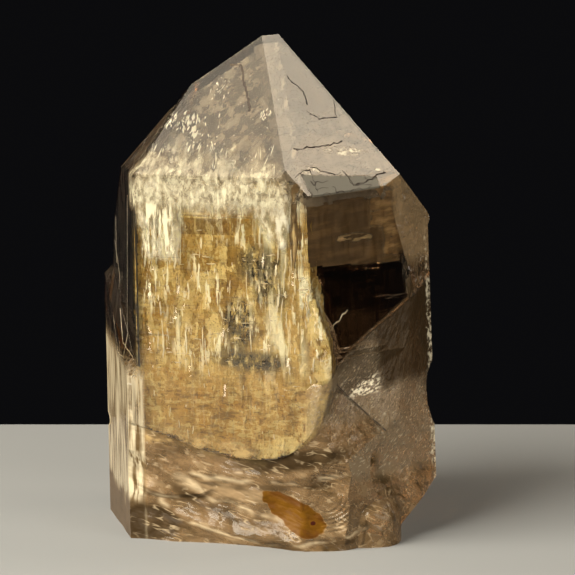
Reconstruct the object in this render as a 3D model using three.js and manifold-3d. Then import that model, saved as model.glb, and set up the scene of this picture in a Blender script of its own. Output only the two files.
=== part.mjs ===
// A broken-off point of smoky quartz that stands on its base, as one solid.
//
// Millimetres, +Z up. Azimuth 0 faces -Y (the front) and grows towards +X (the right).
// The crystal is worked out about its own axis, which runs down through the tip, and the
// finished solid is then moved so that the origin is the middle of its base.
import * as THREE from "three";
import { ConvexGeometry } from "three/addons/geometries/ConvexGeometry.js";
import { SimplexNoise } from "three/addons/math/SimplexNoise.js";
import { mergeVertices } from "three/addons/utils/BufferGeometryUtils.js";
import Module from "manifold-3d";

// ---- Driving dimensions ----

const TIP_HEIGHT = 71.9;
const ROUGH = 160; // side of the rough block that the crystal is cut from
const CUTTER = 500; // side of the blocks that cut it
const TURN = -18.9; // degrees, azimuth of the widest prism face
const LEAN = -1.0; // degrees that the axis leans towards -X
const RHOMB_POLAR = 51.79; // degrees from the axis to a rhombohedral face's normal
const PRISM_POLAR = 90;

// The six prism faces: azimuth from TURN, and distance from the axis.
const PRISM = {
  leftNarrow: { azimuth: -60, distance: 20.0 },
  front: { azimuth: 0, distance: 14.5 },
  frontRight: { azimuth: 60, distance: 16.5 },
  right: { azimuth: 120, distance: 23.2 },
  back: { azimuth: 180, distance: 23.4 },
  backLeft: { azimuth: -120, distance: 23.2 },
};

// The six faces of the point: azimuth from TURN, and distance from the axis at tip height.
// Three of them meet in the tip, and two in the short level ridge that runs back from it.
const POINT = {
  front: { azimuth: 0, distance: 0 },
  frontRight: { azimuth: 60, distance: 0 },
  leftNarrow: { azimuth: -60, distance: 5.2 },
  backLeft: { azimuth: -120, distance: 0 },
  right: { azimuth: 120, distance: 2.75 },
  back: { azimuth: 180, distance: 2.75 },
};

// Narrow facets along the edge between the two front prism faces, and at its top corner.
const EDGE_FACET = { azimuth: 30, polar: 90, distance: 17.6 };
const CORNER_FACET = { azimuth: 30, polar: 66, distance: 36.6 };

// Growth that stands proud of the prism faces.
const PROUD = { frontRight: 2.6, leftNarrow: 1.3, backLeft: 0.9 };
const LEDGES = [
  { top: 28.6, proud: 0.35 },
  { top: 28.0, proud: 0.7 },
  { top: 27.3, proud: 1.1 },
];
const LEFT_COLUMN = { back: -17, backTop: 37, long: 19, frontTop: 25.5, flare: 0.35 };

// The foot, a lumpy lobe at the right of the base: its middle from the axis, its half sizes,
// and how boxy it is, from 1, a ball, down to 0, a box.
const FOOT = {
  middle: { x: 11.2, y: -4.2, z: 0.4 },
  half: { x: 7.7, y: 10.2, z: 6.6 },
  boxy: 0.5,
  detail: 7,
  seed: 21,
};

// Slanting planes on the front right face. Each holds the line through a point of the face
// that rises to the right by an angle, and dips into the face by a tilt beyond that line.
const FROSTED_SLOPE = { along: 0, height: 27.5, rise: 28, tilt: 12 };
const EDGE_BREAK = { along: 10.2, height: 46, rise: -71, tilt: 13 };

// The step along a crack on the frosted slope: deepest at the crack's top, it runs out at the
// crack's foot and beside it. Each point is along the face, up it and out of it.
const CRACK_STEP = {
  foot: [6.3, 15.2, 2.4],
  top: [-3.4, 24.6, 0.1],
  side: [-8.4, 19.0, 1.15],
};

// The right side of the base is broken off at a slant, through a point of the section.
const RIGHT_BREAK = { azimuth: 118, polar: 138, x: 20.2, z: 4.4 };

// The tongue: a thick plate that grew over the front face and juts out at its right edge.
// Its outline is a curve through points, along the face to the right of the axis and up it.
const TONGUE = {
  thick: 3.6,
  bevel: 1.1,
  curve: 40,
  points: [
    [-15.6, 17.4],
    [-9.2, 15.4],
    [-3.4, 13.6],
    [4.4, 13.0],
    [8.6, 14.3],
    [12.4, 18.6],
    [14.2, 24.2],
    [13.9, 30.0],
    [12.2, 35.2],
    [10.6, 41.0],
  ],
};

// The broken lower part of the front, outside the tongue. Shells are hollows that meet in
// ridges: each has its middle along the face and its height, half sizes along and up the
// face, a depth and a turn.
const FRONT_BREAK = {
  azimuth: 0,
  distance: PRISM.front.distance,
  skin: 0.3,
  wide: 44,
  high: 29,
  columns: 48,
  rows: 30,
  ripple: 0.09,
  grain: 0.4,
  seed: 1,
  shells: [
    { along: -1.2, height: 11.2, halfLong: 16, halfHigh: 5.4, depth: 1.2, turn: -8 },
    { along: -3.2, height: 5.6, halfLong: 13, halfHigh: 4.4, depth: 1.4, turn: -21 },
    { along: -0.2, height: -0.5, halfLong: 11, halfHigh: 4.5, depth: 1.5, turn: -12 },
    { along: -13.2, height: 3, halfLong: 5.0, halfHigh: 4.6, depth: 1.1, turn: 0 },
    { along: -16.5, height: 9.5, halfLong: 4.6, halfHigh: 4.2, depth: 1.3, turn: 10 },
    { along: 6.3, height: 5, halfLong: 5.2, halfHigh: 4.2, depth: 1.6, turn: -38 },
    { along: 13, height: 3.4, halfLong: 4.6, halfHigh: 5, depth: 1.9, turn: 0 },
    { along: 14.6, height: 12, halfLong: 5, halfHigh: 7, depth: 1.8, turn: 10 },
    { along: 17, height: 21, halfLong: 4, halfHigh: 8, depth: 2.2, turn: 8 },
  ],
};

// The corner below the frosted slope, broken off over the foot of the front edge.
const CORNER_BREAK = {
  azimuth: 32,
  distance: 18.3,
  skin: 0.25,
  wide: 34,
  high: 15,
  columns: 34,
  rows: 18,
  ripple: 0.12,
  grain: 0.5,
  seed: 4,
  shells: [
    { along: 0.5, height: 4.2, halfLong: 9.5, halfHigh: 6.2, depth: 1.7, turn: 24 },
    { along: -3.5, height: -1.2, halfLong: 6.2, halfHigh: 4.6, depth: 1.9, turn: 6 },
    { along: 4.2, height: 9.2, halfLong: 7.5, halfHigh: 4.4, depth: 1.2, turn: 34 },
  ],
};

// Single shell-shaped breaks on the other faces, given in the same way.
const BREAKS = [
  { face: "right", along: -7.5, height: 19.8, halfLong: 6, halfHigh: 4.6, depth: 1.2, turn: 6 },
  { face: "right", along: 9, height: 3, halfLong: 12, halfHigh: 9, depth: 1.9, turn: -20 },
  { face: "right", along: 14, height: 33, halfLong: 5, halfHigh: 8, depth: 0.9, turn: 8 },
  { face: "backLeft", along: -9, height: 18, halfLong: 9, halfHigh: 14, depth: 0.9, turn: 12 },
  { face: "backLeft", along: -6, height: 1, halfLong: 12, halfHigh: 7, depth: 1.6, turn: 6 },
  { face: "back", along: 8, height: 3, halfLong: 12, halfHigh: 9, depth: 1.9, turn: -8 },
  { face: "back", along: -8, height: 3, halfLong: 10, halfHigh: 7, depth: 1.5, turn: 12 },
  { face: "back", along: 13, height: 27, halfLong: 4, halfHigh: 9, depth: 0.8, turn: -6 },
];
// Breaks in the growth that stands proud of its face.
const PROUD_BREAKS = [
  { face: "frontRight", along: 10, height: 12, halfLong: 8, halfHigh: 6, depth: 0.3, turn: 30 },
  { face: "leftNarrow", along: -15, height: 14.3, halfLong: 3, halfHigh: 1, depth: 0.25, turn: 10 },
  { face: "leftNarrow", along: -5, height: -3, halfLong: 12, halfHigh: 3.6, depth: 0.6, turn: 0 },
];
const BREAK_CURVE = 4; // a break's radius across the face, over its depth
const BREAK_DETAIL = 9;
const BREAK_ROUGHNESS = 0.02; // share of the radius that the surface rises and falls by
const BREAK_GRAIN = 5.5; // lumps over one radius

// Thin growth plates that show as ledges on the faces.
const PLATES = [
  { face: "front", along: -10.3, height: 44.5, wide: 5.2, high: 5.6, proud: 0.22 },
  { face: "front", along: 1.3, height: 50, wide: 15, high: 4.6, proud: 0.16 },
  { face: "right", along: -4.5, height: 44.8, wide: 8, high: 1.5, proud: 0.45 },
  { face: "right", along: 8, height: 26, wide: 15, high: 20, proud: 0.5 },
  { face: "back", along: -7, height: 22, wide: 15, high: 19, proud: 0.5 },
  { face: "back", along: 6, height: 38.5, wide: 12, high: 5, proud: 0.35 },
  { face: "backLeft", along: 2, height: 30, wide: 11, high: 14, proud: 0.45 },
];
const PLATE_ROOT = 1.5; // how far a plate reaches down into the crystal

// The front face is pitted in small upright slots.
const PITS = { seed: 11, count: 18, left: -13, right: 9, low: 21, high: 44 };
const PIT_SIZE = { wide: 0.45, tall: 2.4, deep: 0.25 };

// Small chips along the upright edge between the front right and right faces.
const EDGE_CHIPS = { seed: 5, count: 6, low: 8, high: 42, size: 1.4, along: -7.4, out: 1.8, long: 1.8 };

// ---- Solids ----

const wasm = await Module();
wasm.setup();

const UP = new THREE.Vector3(0, 0, 1);
const radians = THREE.MathUtils.degToRad;
const leaning = new THREE.Matrix4().makeRotationY(radians(LEAN));

/** A repeatable run of numbers between 0 and 1. */
function dice(seed) {
  let state = seed;
  return () => {
    state = (state * 16807) % 2147483647;
    return state / 2147483647;
  };
}

/** A closed geometry as a manifold-3d solid. */
function solidOf(geometry) {
  const bare = geometry.clone();
  bare.deleteAttribute("normal");
  bare.deleteAttribute("uv");
  const merged = mergeVertices(bare, 1e-4);
  return new wasm.Manifold(
    new wasm.Mesh({
      numProp: 3,
      vertProperties: merged.attributes.position.array,
      triVerts: new Uint32Array(merged.index.array),
    }),
  );
}

/** A manifold-3d solid as a geometry. */
function geometryOf(solid) {
  const mesh = solid.getMesh();
  const geometry = new THREE.BufferGeometry();
  geometry.setAttribute("position", new THREE.BufferAttribute(mesh.vertProperties, 3));
  geometry.setIndex(new THREE.BufferAttribute(mesh.triVerts, 1));
  geometry.computeVertexNormals();
  return geometry;
}

/** A unit vector out of the crystal. */
function outward(azimuth, polar) {
  const turned = radians(TURN + azimuth);
  const tilted = radians(polar);
  const flat = Math.sin(tilted);
  return new THREE.Vector3(Math.sin(turned) * flat, -Math.cos(turned) * flat, Math.cos(tilted));
}

/** The frame of an upright plane: X along it to the right, Y up it and Z out of it. */
function planeFrame(azimuth, distance, along = 0, height = 0) {
  const out = outward(azimuth, PRISM_POLAR);
  const right = new THREE.Vector3().crossVectors(UP, out);
  const place = out.clone().multiplyScalar(distance);
  place.addScaledVector(right, along).addScaledVector(UP, height);
  return new THREE.Matrix4().makeBasis(right, UP, out).setPosition(place);
}

/** The frame of a point on a prism face, or proud of it. */
function faceFrame(face, along = 0, height = 0, proud = 0) {
  const { azimuth, distance } = PRISM[face];
  return planeFrame(azimuth, distance + proud, along, height);
}

/** All that lies beyond a plane, to be cut away. */
function beyond(normal, distance) {
  const geometry = new THREE.BoxGeometry(CUTTER, CUTTER, CUTTER);
  geometry.translate(0, 0, CUTTER / 2 + distance);
  const turn = new THREE.Quaternion().setFromUnitVectors(UP, normal);
  geometry.applyQuaternion(turn);
  return solidOf(geometry);
}

/** All that lies beyond a plane with the given outward angles, through a point. */
function beyondPoint(azimuth, polar, point) {
  const normal = outward(azimuth, polar);
  return beyond(normal, normal.dot(point));
}

/** The rough block cut by each solid in turn. */
function cutBlock(cutters) {
  const block = solidOf(new THREE.BoxGeometry(ROUGH, ROUGH, ROUGH));
  return cutters.reduce((left, cutter) => left.subtract(cutter), block);
}

/** The prism's sides, with some faces moved out. */
function sides(proud = {}) {
  return Object.entries(PRISM).map(([name, { azimuth, distance }]) =>
    beyond(outward(azimuth, PRISM_POLAR), distance + (proud[name] ?? 0)),
  );
}

/** The six faces of the point. */
function pointFaces() {
  return Object.values(POINT).map(({ azimuth, distance }) => {
    const tip = outward(azimuth, PRISM_POLAR).multiplyScalar(distance);
    return beyondPoint(azimuth, RHOMB_POLAR, tip.setZ(TIP_HEIGHT));
  });
}

/** The form of the crystal, with some of its prism faces moved out. */
function grownForm(proud = {}) {
  return cutBlock([...sides(proud), ...pointFaces()]);
}

/** The main crystal, with the two narrow facets on its front edge and its slanting break. */
function mainCrystal() {
  const facets = [EDGE_FACET, CORNER_FACET].map(({ azimuth, polar, distance }) =>
    beyond(outward(azimuth, polar), distance),
  );
  return facets.reduce((left, facet) => left.subtract(facet), grownForm());
}

/** What the slanting break takes away. */
function rightBreak() {
  const { azimuth, polar, x, z } = RIGHT_BREAK;
  return beyondPoint(azimuth, polar, new THREE.Vector3(x, 0, z));
}

/** Level ledges that step out from the front right face. */
function ledges() {
  return LEDGES.map(({ top, proud }) =>
    grownForm({ frontRight: proud }).subtract(beyond(UP, top)),
  );
}

/** All that lies outside a slanting plane on the front right face. */
function outsideSlant({ along, height, rise, tilt }) {
  const turn = new THREE.Matrix4().makeRotationZ(radians(rise));
  const lay = new THREE.Matrix4().makeRotationX(radians(-tilt));
  const place = faceFrame("frontRight", along, height).multiply(turn).multiply(lay);
  const above = new THREE.BoxGeometry(CUTTER, CUTTER, CUTTER);
  return solidOf(above.translate(0, 0, CUTTER / 2).applyMatrix4(place));
}

/** The frosted slope that rises to the right above the ledges. */
function frostedSlope() {
  return grownForm({ frontRight: PROUD.frontRight }).subtract(outsideSlant(FROSTED_SLOPE));
}

/** The wedge that the step along the crack leaves open. */
function crackStep() {
  const low = Object.values(CRACK_STEP).map((place) => new THREE.Vector3(...place));
  const high = low.map((place) => place.clone().setZ(TIP_HEIGHT));
  const wedge = new ConvexGeometry([...low, ...high]);
  return solidOf(wedge.applyMatrix4(faceFrame("frontRight")));
}

/** The foot at the right of the base. */
function foot() {
  const { middle, half, boxy, detail, seed } = FOOT;
  const lobe = lumpyBall(seed, detail);
  const position = lobe.attributes.position;
  for (let i = 0; i < position.count; i += 1) {
    const place = [position.getX(i), position.getY(i), position.getZ(i)];
    position.setXYZ(i, ...place.map((part) => Math.sign(part) * Math.abs(part) ** boxy));
  }
  lobe.scale(half.x, half.y, half.z).translate(middle.x, middle.y, middle.z);
  return solidOf(lobe);
}

/** The parallel column that steps out of the narrow left face. */
function leftColumn() {
  const { back, backTop, long, frontTop, flare } = LEFT_COLUMN;
  const { leftNarrow, backLeft } = PROUD;
  const backEnd = faceFrame("leftNarrow", back, backTop, leftNarrow);
  const run = new THREE.Vector3().setFromMatrixColumn(backEnd, 0);
  run.multiplyScalar(long).setZ(frontTop - backTop).normalize();
  const out = outward(PRISM.leftNarrow.azimuth, PRISM_POLAR);
  const normal = new THREE.Vector3().crossVectors(out, run).addScaledVector(out, flare).normalize();
  const edge = new THREE.Vector3().setFromMatrixPosition(backEnd);
  return grownForm({ leftNarrow, backLeft }).subtract(beyond(normal, normal.dot(edge)));
}

/** A thin plate on a face, which ends where the face does. */
function plate({ face, along, height, wide, high, proud }) {
  const slab = new THREE.BoxGeometry(wide, high, proud + PLATE_ROOT);
  slab.translate(0, 0, (proud - PLATE_ROOT) / 2);
  slab.applyMatrix4(faceFrame(face, along, height));
  return grownForm({ [face]: proud }).intersect(solidOf(slab));
}

/** How deep the deepest of the shells is at a point of the face. */
function shellDepth(shells, x, y) {
  const depths = shells.map(({ along, height, halfLong, halfHigh, depth, turn }) => {
    const cos = Math.cos(radians(turn));
    const sin = Math.sin(radians(turn));
    const u = ((x - along) * cos + (y - height) * sin) / halfLong;
    const v = ((y - height) * cos - (x - along) * sin) / halfHigh;
    return depth * (1 - u * u - v * v);
  });
  return Math.max(...depths);
}

/** The tongue's outline on the front face, carried up to well above it on the left. */
function tongueShape(top) {
  const points = TONGUE.points.map(([along, height]) => new THREE.Vector2(along, height));
  const outline = new THREE.SplineCurve(points).getPoints(TONGUE.curve);
  outline.push(new THREE.Vector2(TONGUE.points.at(-1)[0], top));
  outline.push(new THREE.Vector2(TONGUE.points[0][0], top));
  return new THREE.Shape(outline);
}

/** The tongue, as a plate with a bevelled rim. */
function tongue() {
  const { thick, bevel, points } = TONGUE;
  const body = new THREE.ExtrudeGeometry(tongueShape(points.at(-1)[1] + bevel), {
    depth: thick,
    bevelThickness: bevel,
    bevelSize: bevel,
    bevelOffset: -bevel,
    bevelSegments: 2,
  });
  body.translate(0, 0, -thick - bevel).applyMatrix4(faceFrame("front"));
  return grownForm({ frontRight: 2 * thick }).intersect(solidOf(body));
}

/** The tongue and all that lies before and behind it, to be kept from the breaks. */
function tongueColumn() {
  const column = new THREE.ExtrudeGeometry(tongueShape(2 * FRONT_BREAK.high), {
    depth: CUTTER,
    bevelEnabled: false,
  });
  return solidOf(column.translate(0, 0, -CUTTER / 2).applyMatrix4(faceFrame("front")));
}

/** A rough break behind an upright plane, outside the tongue. */
function roughBreak(zone) {
  const { azimuth, distance, skin, wide, high, columns, rows, ripple, grain, seed, shells } = zone;
  const noise = new SimplexNoise({ random: dice(seed) });
  const slab = new THREE.BoxGeometry(wide, high, 2 * wide, columns, rows, 1);
  slab.translate(0, high / 2 - 1, wide);
  const position = slab.attributes.position;
  for (let i = 0; i < position.count; i += 1) {
    const x = position.getX(i);
    const y = position.getY(i);
    const rough = ripple * noise.noise(x * grain, y * grain);
    const depth = Math.max(skin, shellDepth(shells, x, y)) + rough;
    if (position.getZ(i) < wide) position.setZ(i, -depth);
  }
  slab.applyMatrix4(planeFrame(azimuth, distance));
  return solidOf(slab).subtract(tongueColumn());
}

/** A lumpy ball of radius 1. */
function lumpyBall(seed, detail = BREAK_DETAIL) {
  const noise = new SimplexNoise({ random: dice(seed) });
  const ball = new THREE.IcosahedronGeometry(1, detail);
  const position = ball.attributes.position;
  const point = new THREE.Vector3();
  for (let i = 0; i < position.count; i += 1) {
    point.fromBufferAttribute(position, i);
    const at = point.clone().multiplyScalar(BREAK_GRAIN);
    point.multiplyScalar(1 + BREAK_ROUGHNESS * noise.noise3d(at.x, at.y, at.z));
    position.setXYZ(i, point.x, point.y, point.z);
  }
  return ball;
}

/** The hollow that a shell-shaped break leaves in a face. */
function breakHollow({ face, along, height, halfLong, halfHigh, depth, turn }, proud, seed) {
  const radius = depth * BREAK_CURVE;
  const share = Math.sqrt(1 - (1 - 1 / BREAK_CURVE) ** 2);
  const ball = lumpyBall(seed);
  ball.scale(halfLong / share, halfHigh / share, radius);
  ball.rotateZ(radians(turn));
  ball.translate(0, 0, radius - depth);
  return solidOf(ball.applyMatrix4(faceFrame(face, along, height, proud)));
}

/** All the single breaks. */
function breaks() {
  const flush = BREAKS.map((shell, index) => breakHollow(shell, 0, index + 1));
  const proud = PROUD_BREAKS.map((shell, index) =>
    breakHollow(shell, PROUD[shell.face], BREAKS.length + index + 1),
  );
  return [...flush, ...proud];
}

/** Small upright slots in the front face. */
function pits() {
  const { seed, count, left, right, low, high } = PITS;
  const { wide, tall, deep } = PIT_SIZE;
  const roll = dice(seed);
  return Array.from({ length: count }, () => {
    const along = THREE.MathUtils.lerp(left, right, roll());
    const height = THREE.MathUtils.lerp(low, high, roll());
    const size = 0.5 + roll();
    const slot = new THREE.BoxGeometry(wide * size, tall * size, 2 * deep);
    return solidOf(slot.applyMatrix4(faceFrame("front", along, height)));
  });
}

/** Small chips out of the edge between the front right and right faces. */
function edgeChips() {
  const { seed, count, low, high, size, along, out, long } = EDGE_CHIPS;
  const roll = dice(seed);
  return Array.from({ length: count }, () => {
    const chip = new THREE.IcosahedronGeometry(size * (0.8 + 0.4 * roll()), 3);
    chip.scale(1, long, 1).rotateZ(roll() - 0.5);
    const height = THREE.MathUtils.lerp(low, high, roll());
    return solidOf(chip.applyMatrix4(faceFrame("right", along, height, out - roll())));
  });
}

/** The whole crystal, before its base is cut level. */
function grownCrystal() {
  const steps = [...ledges(), frostedSlope(), leftColumn(), ...PLATES.map(plate)];
  const planes = [outsideSlant(EDGE_BREAK), rightBreak(), crackStep()];
  const hollows = [roughBreak(FRONT_BREAK), ...breaks(), ...pits(), ...edgeChips()];
  const grown = steps.reduce((whole, solid) => whole.add(solid), mainCrystal());
  const cut = planes.reduce((whole, solid) => whole.subtract(solid), grown);
  const faced = cut.subtract(roughBreak(CORNER_BREAK)).add(tongue());
  return hollows.reduce((whole, solid) => whole.subtract(solid), faced).add(foot());
}

/** The geometry, leaning as it stands, cut level at its base and set on the middle of it. */
function standingCrystal() {
  const leant = solidOf(geometryOf(grownCrystal()).applyMatrix4(leaning));
  const standing = leant.subtract(beyond(UP.clone().negate(), 0));
  const geometry = geometryOf(standing);
  geometry.computeBoundingBox();
  const middle = geometry.boundingBox.getCenter(new THREE.Vector3());
  return geometry.translate(-middle.x, -middle.y, -geometry.boundingBox.min.z);
}

const quartz = new THREE.MeshStandardMaterial({
  color: 0xb9a27c,
  roughness: 0.12,
  metalness: 0,
  transparent: true,
  opacity: 0.55,
});

const crystal = new THREE.Mesh(standingCrystal(), quartz);
crystal.name = "smoky_quartz_point";

const group = new THREE.Group();
group.add(crystal);

export default group;
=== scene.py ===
"""Looks for a broken-off point of smoky quartz, and the small set it stands in.

The crystal is one piece of clear, faintly brown glass-like stone with fresh and frosted
breaks. Thin golden veils, bright flakes and dark cracks lie inside it, each laid behind
one of its faces.
"""

from __future__ import annotations

import logging
import math
import random
from dataclasses import dataclass, field
from enum import Enum
from typing import Any

import bmesh
import bpy
from mathutils import Matrix, Vector, noise
from mathutils.bvhtree import BVHTree


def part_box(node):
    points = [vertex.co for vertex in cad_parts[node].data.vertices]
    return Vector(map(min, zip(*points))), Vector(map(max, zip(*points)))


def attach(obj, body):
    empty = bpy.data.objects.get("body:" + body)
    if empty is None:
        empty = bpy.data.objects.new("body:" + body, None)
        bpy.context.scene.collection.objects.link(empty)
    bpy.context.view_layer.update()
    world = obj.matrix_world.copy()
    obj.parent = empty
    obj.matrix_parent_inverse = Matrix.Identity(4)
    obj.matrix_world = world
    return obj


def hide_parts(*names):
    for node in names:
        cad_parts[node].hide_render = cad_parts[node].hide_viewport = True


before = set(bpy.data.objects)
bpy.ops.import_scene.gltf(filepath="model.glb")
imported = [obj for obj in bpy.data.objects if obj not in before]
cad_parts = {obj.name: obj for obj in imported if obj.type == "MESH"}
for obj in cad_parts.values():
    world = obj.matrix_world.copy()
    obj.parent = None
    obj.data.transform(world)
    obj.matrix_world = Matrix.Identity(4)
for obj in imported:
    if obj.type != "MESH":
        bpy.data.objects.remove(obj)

LOG = logging.getLogger("quartz")
NODE = "smoky_quartz_point"
BODY = "root"

MM = 0.001
HAIR = 1e-6  # metres, a distance too small to matter
TURN = -18.9  # degrees, azimuth of the widest prism face
LEAN = -1.0  # degrees that the crystal's axis leans towards -X
AXIS_FOOT = (0.228, -4.390)  # where that axis meets the base, in millimetres
TIP_HEIGHT = 71.9
RHOMB_POLAR = 51.79  # degrees from the axis to a point face's normal

Colour = tuple[float, float, float]
Point = tuple[float, float]


# ---------------------------------------------------------------- places on the crystal


class Face(Enum):
    """A face of the crystal: its azimuth from TURN, its polar angle and its distance."""

    FRONT = (0.0, 90.0, 14.5)
    FRONT_RIGHT = (60.0, 90.0, 16.5)
    NARROW_LEFT = (-60.0, 90.0, 20.0)
    RIGHT = (120.0, 90.0, 23.2)
    POINT_FRONT = (0.0, RHOMB_POLAR, 0.0)
    POINT_RIGHT = (60.0, RHOMB_POLAR, 0.0)
    POINT_LEFT = (-60.0, RHOMB_POLAR, 5.2)

    def frame(self) -> Matrix:
        """The face's own frame in millimetres.

        Returns:
            A matrix whose X runs along the face to the right, Y up it and Z out of it.
        """
        azimuth, polar, distance = self.value
        turned, tilted = math.radians(TURN + azimuth), math.radians(polar)
        level = Vector((math.sin(turned), -math.cos(turned), 0.0))
        out = level * math.sin(tilted) + Vector((0.0, 0.0, math.cos(tilted)))
        right = Vector((math.cos(turned), math.sin(turned), 0.0))
        height = 0.0 if polar == 90.0 else TIP_HEIGHT
        place = level * distance + Vector((0.0, 0.0, height))
        axes = Matrix((right, out.cross(right), out)).transposed().to_4x4()
        lean = Matrix.Rotation(math.radians(LEAN), 4, "Y")
        foot = Matrix.Translation((*AXIS_FOOT, 0.0))
        return foot @ lean @ Matrix.Translation(place) @ axes

    def to_metres(self) -> Matrix:
        """Returns the matrix that takes millimetres on the face to the part's metres."""
        return Matrix.Scale(MM, 4) @ self.frame()


# ---------------------------------------------------------------- materials


class Signal:
    """A number that nodes work out at each point, for use in Python expressions."""

    def __init__(self, surface: "Surface", socket: bpy.types.NodeSocket) -> None:
        """Wraps a node's output.

        Args:
            surface: The material that the node belongs to.
            socket: The node's output.
        """
        self.surface = surface
        self.socket = socket

    def _math(self, operation: str, *others: Any) -> "Signal":
        """Adds a Math node.

        Args:
            operation: The Math node's operation.
            others: Its further values.

        Returns:
            The node's result.
        """
        values = dict(enumerate((self, *others)))
        return self.surface.number("ShaderNodeMath", {"operation": operation}, values)

    def __add__(self, other: Any) -> "Signal":
        """Adds."""
        return self._math("ADD", other)

    __radd__ = __add__

    def __sub__(self, other: Any) -> "Signal":
        """Subtracts."""
        return self._math("SUBTRACT", other)

    def __rsub__(self, other: Any) -> "Signal":
        """Subtracts this from another value."""
        return self._math("MULTIPLY_ADD", -1.0, other)

    def __mul__(self, other: Any) -> "Signal":
        """Multiplies."""
        return self._math("MULTIPLY", other)

    __rmul__ = __mul__

    def __truediv__(self, other: Any) -> "Signal":
        """Divides."""
        return self._math("DIVIDE", other)

    def __abs__(self) -> "Signal":
        """Drops the sign."""
        return self._math("ABSOLUTE")

    def least(self, other: Any) -> "Signal":
        """Returns the smaller of this and another value."""
        return self._math("MINIMUM", other)

    def most(self, other: Any) -> "Signal":
        """Returns the larger of this and another value."""
        return self._math("MAXIMUM", other)

    def root(self) -> "Signal":
        """Returns the square root of this number."""
        return self._math("SQRT")

    def sine(self) -> "Signal":
        """Returns the sine of this number, in radians."""
        return self._math("SINE")

    def rise(self, low: float, high: float) -> "Signal":
        """Rises smoothly from 0 to 1.

        Args:
            low: Where the rise starts.
            high: Where it ends. Below low, it falls instead.

        Returns:
            The share from 0 to 1.
        """
        if low > high:
            return 1.0 - self.rise(high, low)
        sockets = {"Value": self, "From Min": low, "From Max": high}
        smooth = {"interpolation_type": "SMOOTHSTEP"}
        return self.surface.number("ShaderNodeMapRange", smooth, sockets)

    def between(self, low: float, high: float, soft: float) -> "Signal":
        """Marks a band of values.

        Args:
            low: The band's lower end.
            high: Its upper end.
            soft: How far each end fades.

        Returns:
            1 inside the band and 0 outside it.
        """
        return self.rise(low - soft, low + soft) * self.rise(high + soft, high - soft)


@dataclass(frozen=True)
class Spot:
    """A place on a face, seen from a material: distances along, up and out of it."""

    along: Signal
    height: Signal
    out: Signal

    def patch(self, left: float, right: float, low: float, high: float, soft: float) -> Signal:
        """Marks a soft-edged box on the face.

        Args:
            left: Its left end along the face.
            right: Its right end.
            low: Its lower end.
            high: Its upper end.
            soft: How far its edges fade.

        Returns:
            1 inside the box and 0 outside it.
        """
        across = self.along.between(left, right, soft)
        return across * self.height.between(low, high, soft)

    def oval(self, middle: Point, half: Point, soft: float = 0.35) -> Signal:
        """Marks a soft-edged oval on the face.

        Args:
            middle: Its middle, along and up the face.
            half: Its half sizes.
            soft: The share of its size over which it fades.

        Returns:
            1 inside the oval and 0 outside it.
        """
        across = (self.along - middle[0]) / half[0]
        up = (self.height - middle[1]) / half[1]
        return (across * across + up * up).rise(1.0 + soft, 1.0 - soft)

    def arc(self, middle: Point, half: Point) -> Signal:
        """Measures from an oval's line on the face.

        Args:
            middle: The oval's middle, along and up the face.
            half: Its half sizes.

        Returns:
            The distance outside the line, in the oval's upright half sizes.
        """
        across = (self.along - middle[0]) / half[0]
        up = (self.height - middle[1]) / half[1]
        return (across * across + up * up).root() - 1.0

    def turned(self, middle: Point, angle: float) -> "Spot":
        """Measures from another point of the face, along a slant.

        Args:
            middle: The point, along and up the face.
            angle: The slant in degrees, rising to the right.

        Returns:
            The distances along, across and out.
        """
        cos, sin = math.cos(math.radians(angle)), math.sin(math.radians(angle))
        x, y = self.along - middle[0], self.height - middle[1]
        return Spot(x * cos + y * sin, y * cos - x * sin, self.out)


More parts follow.
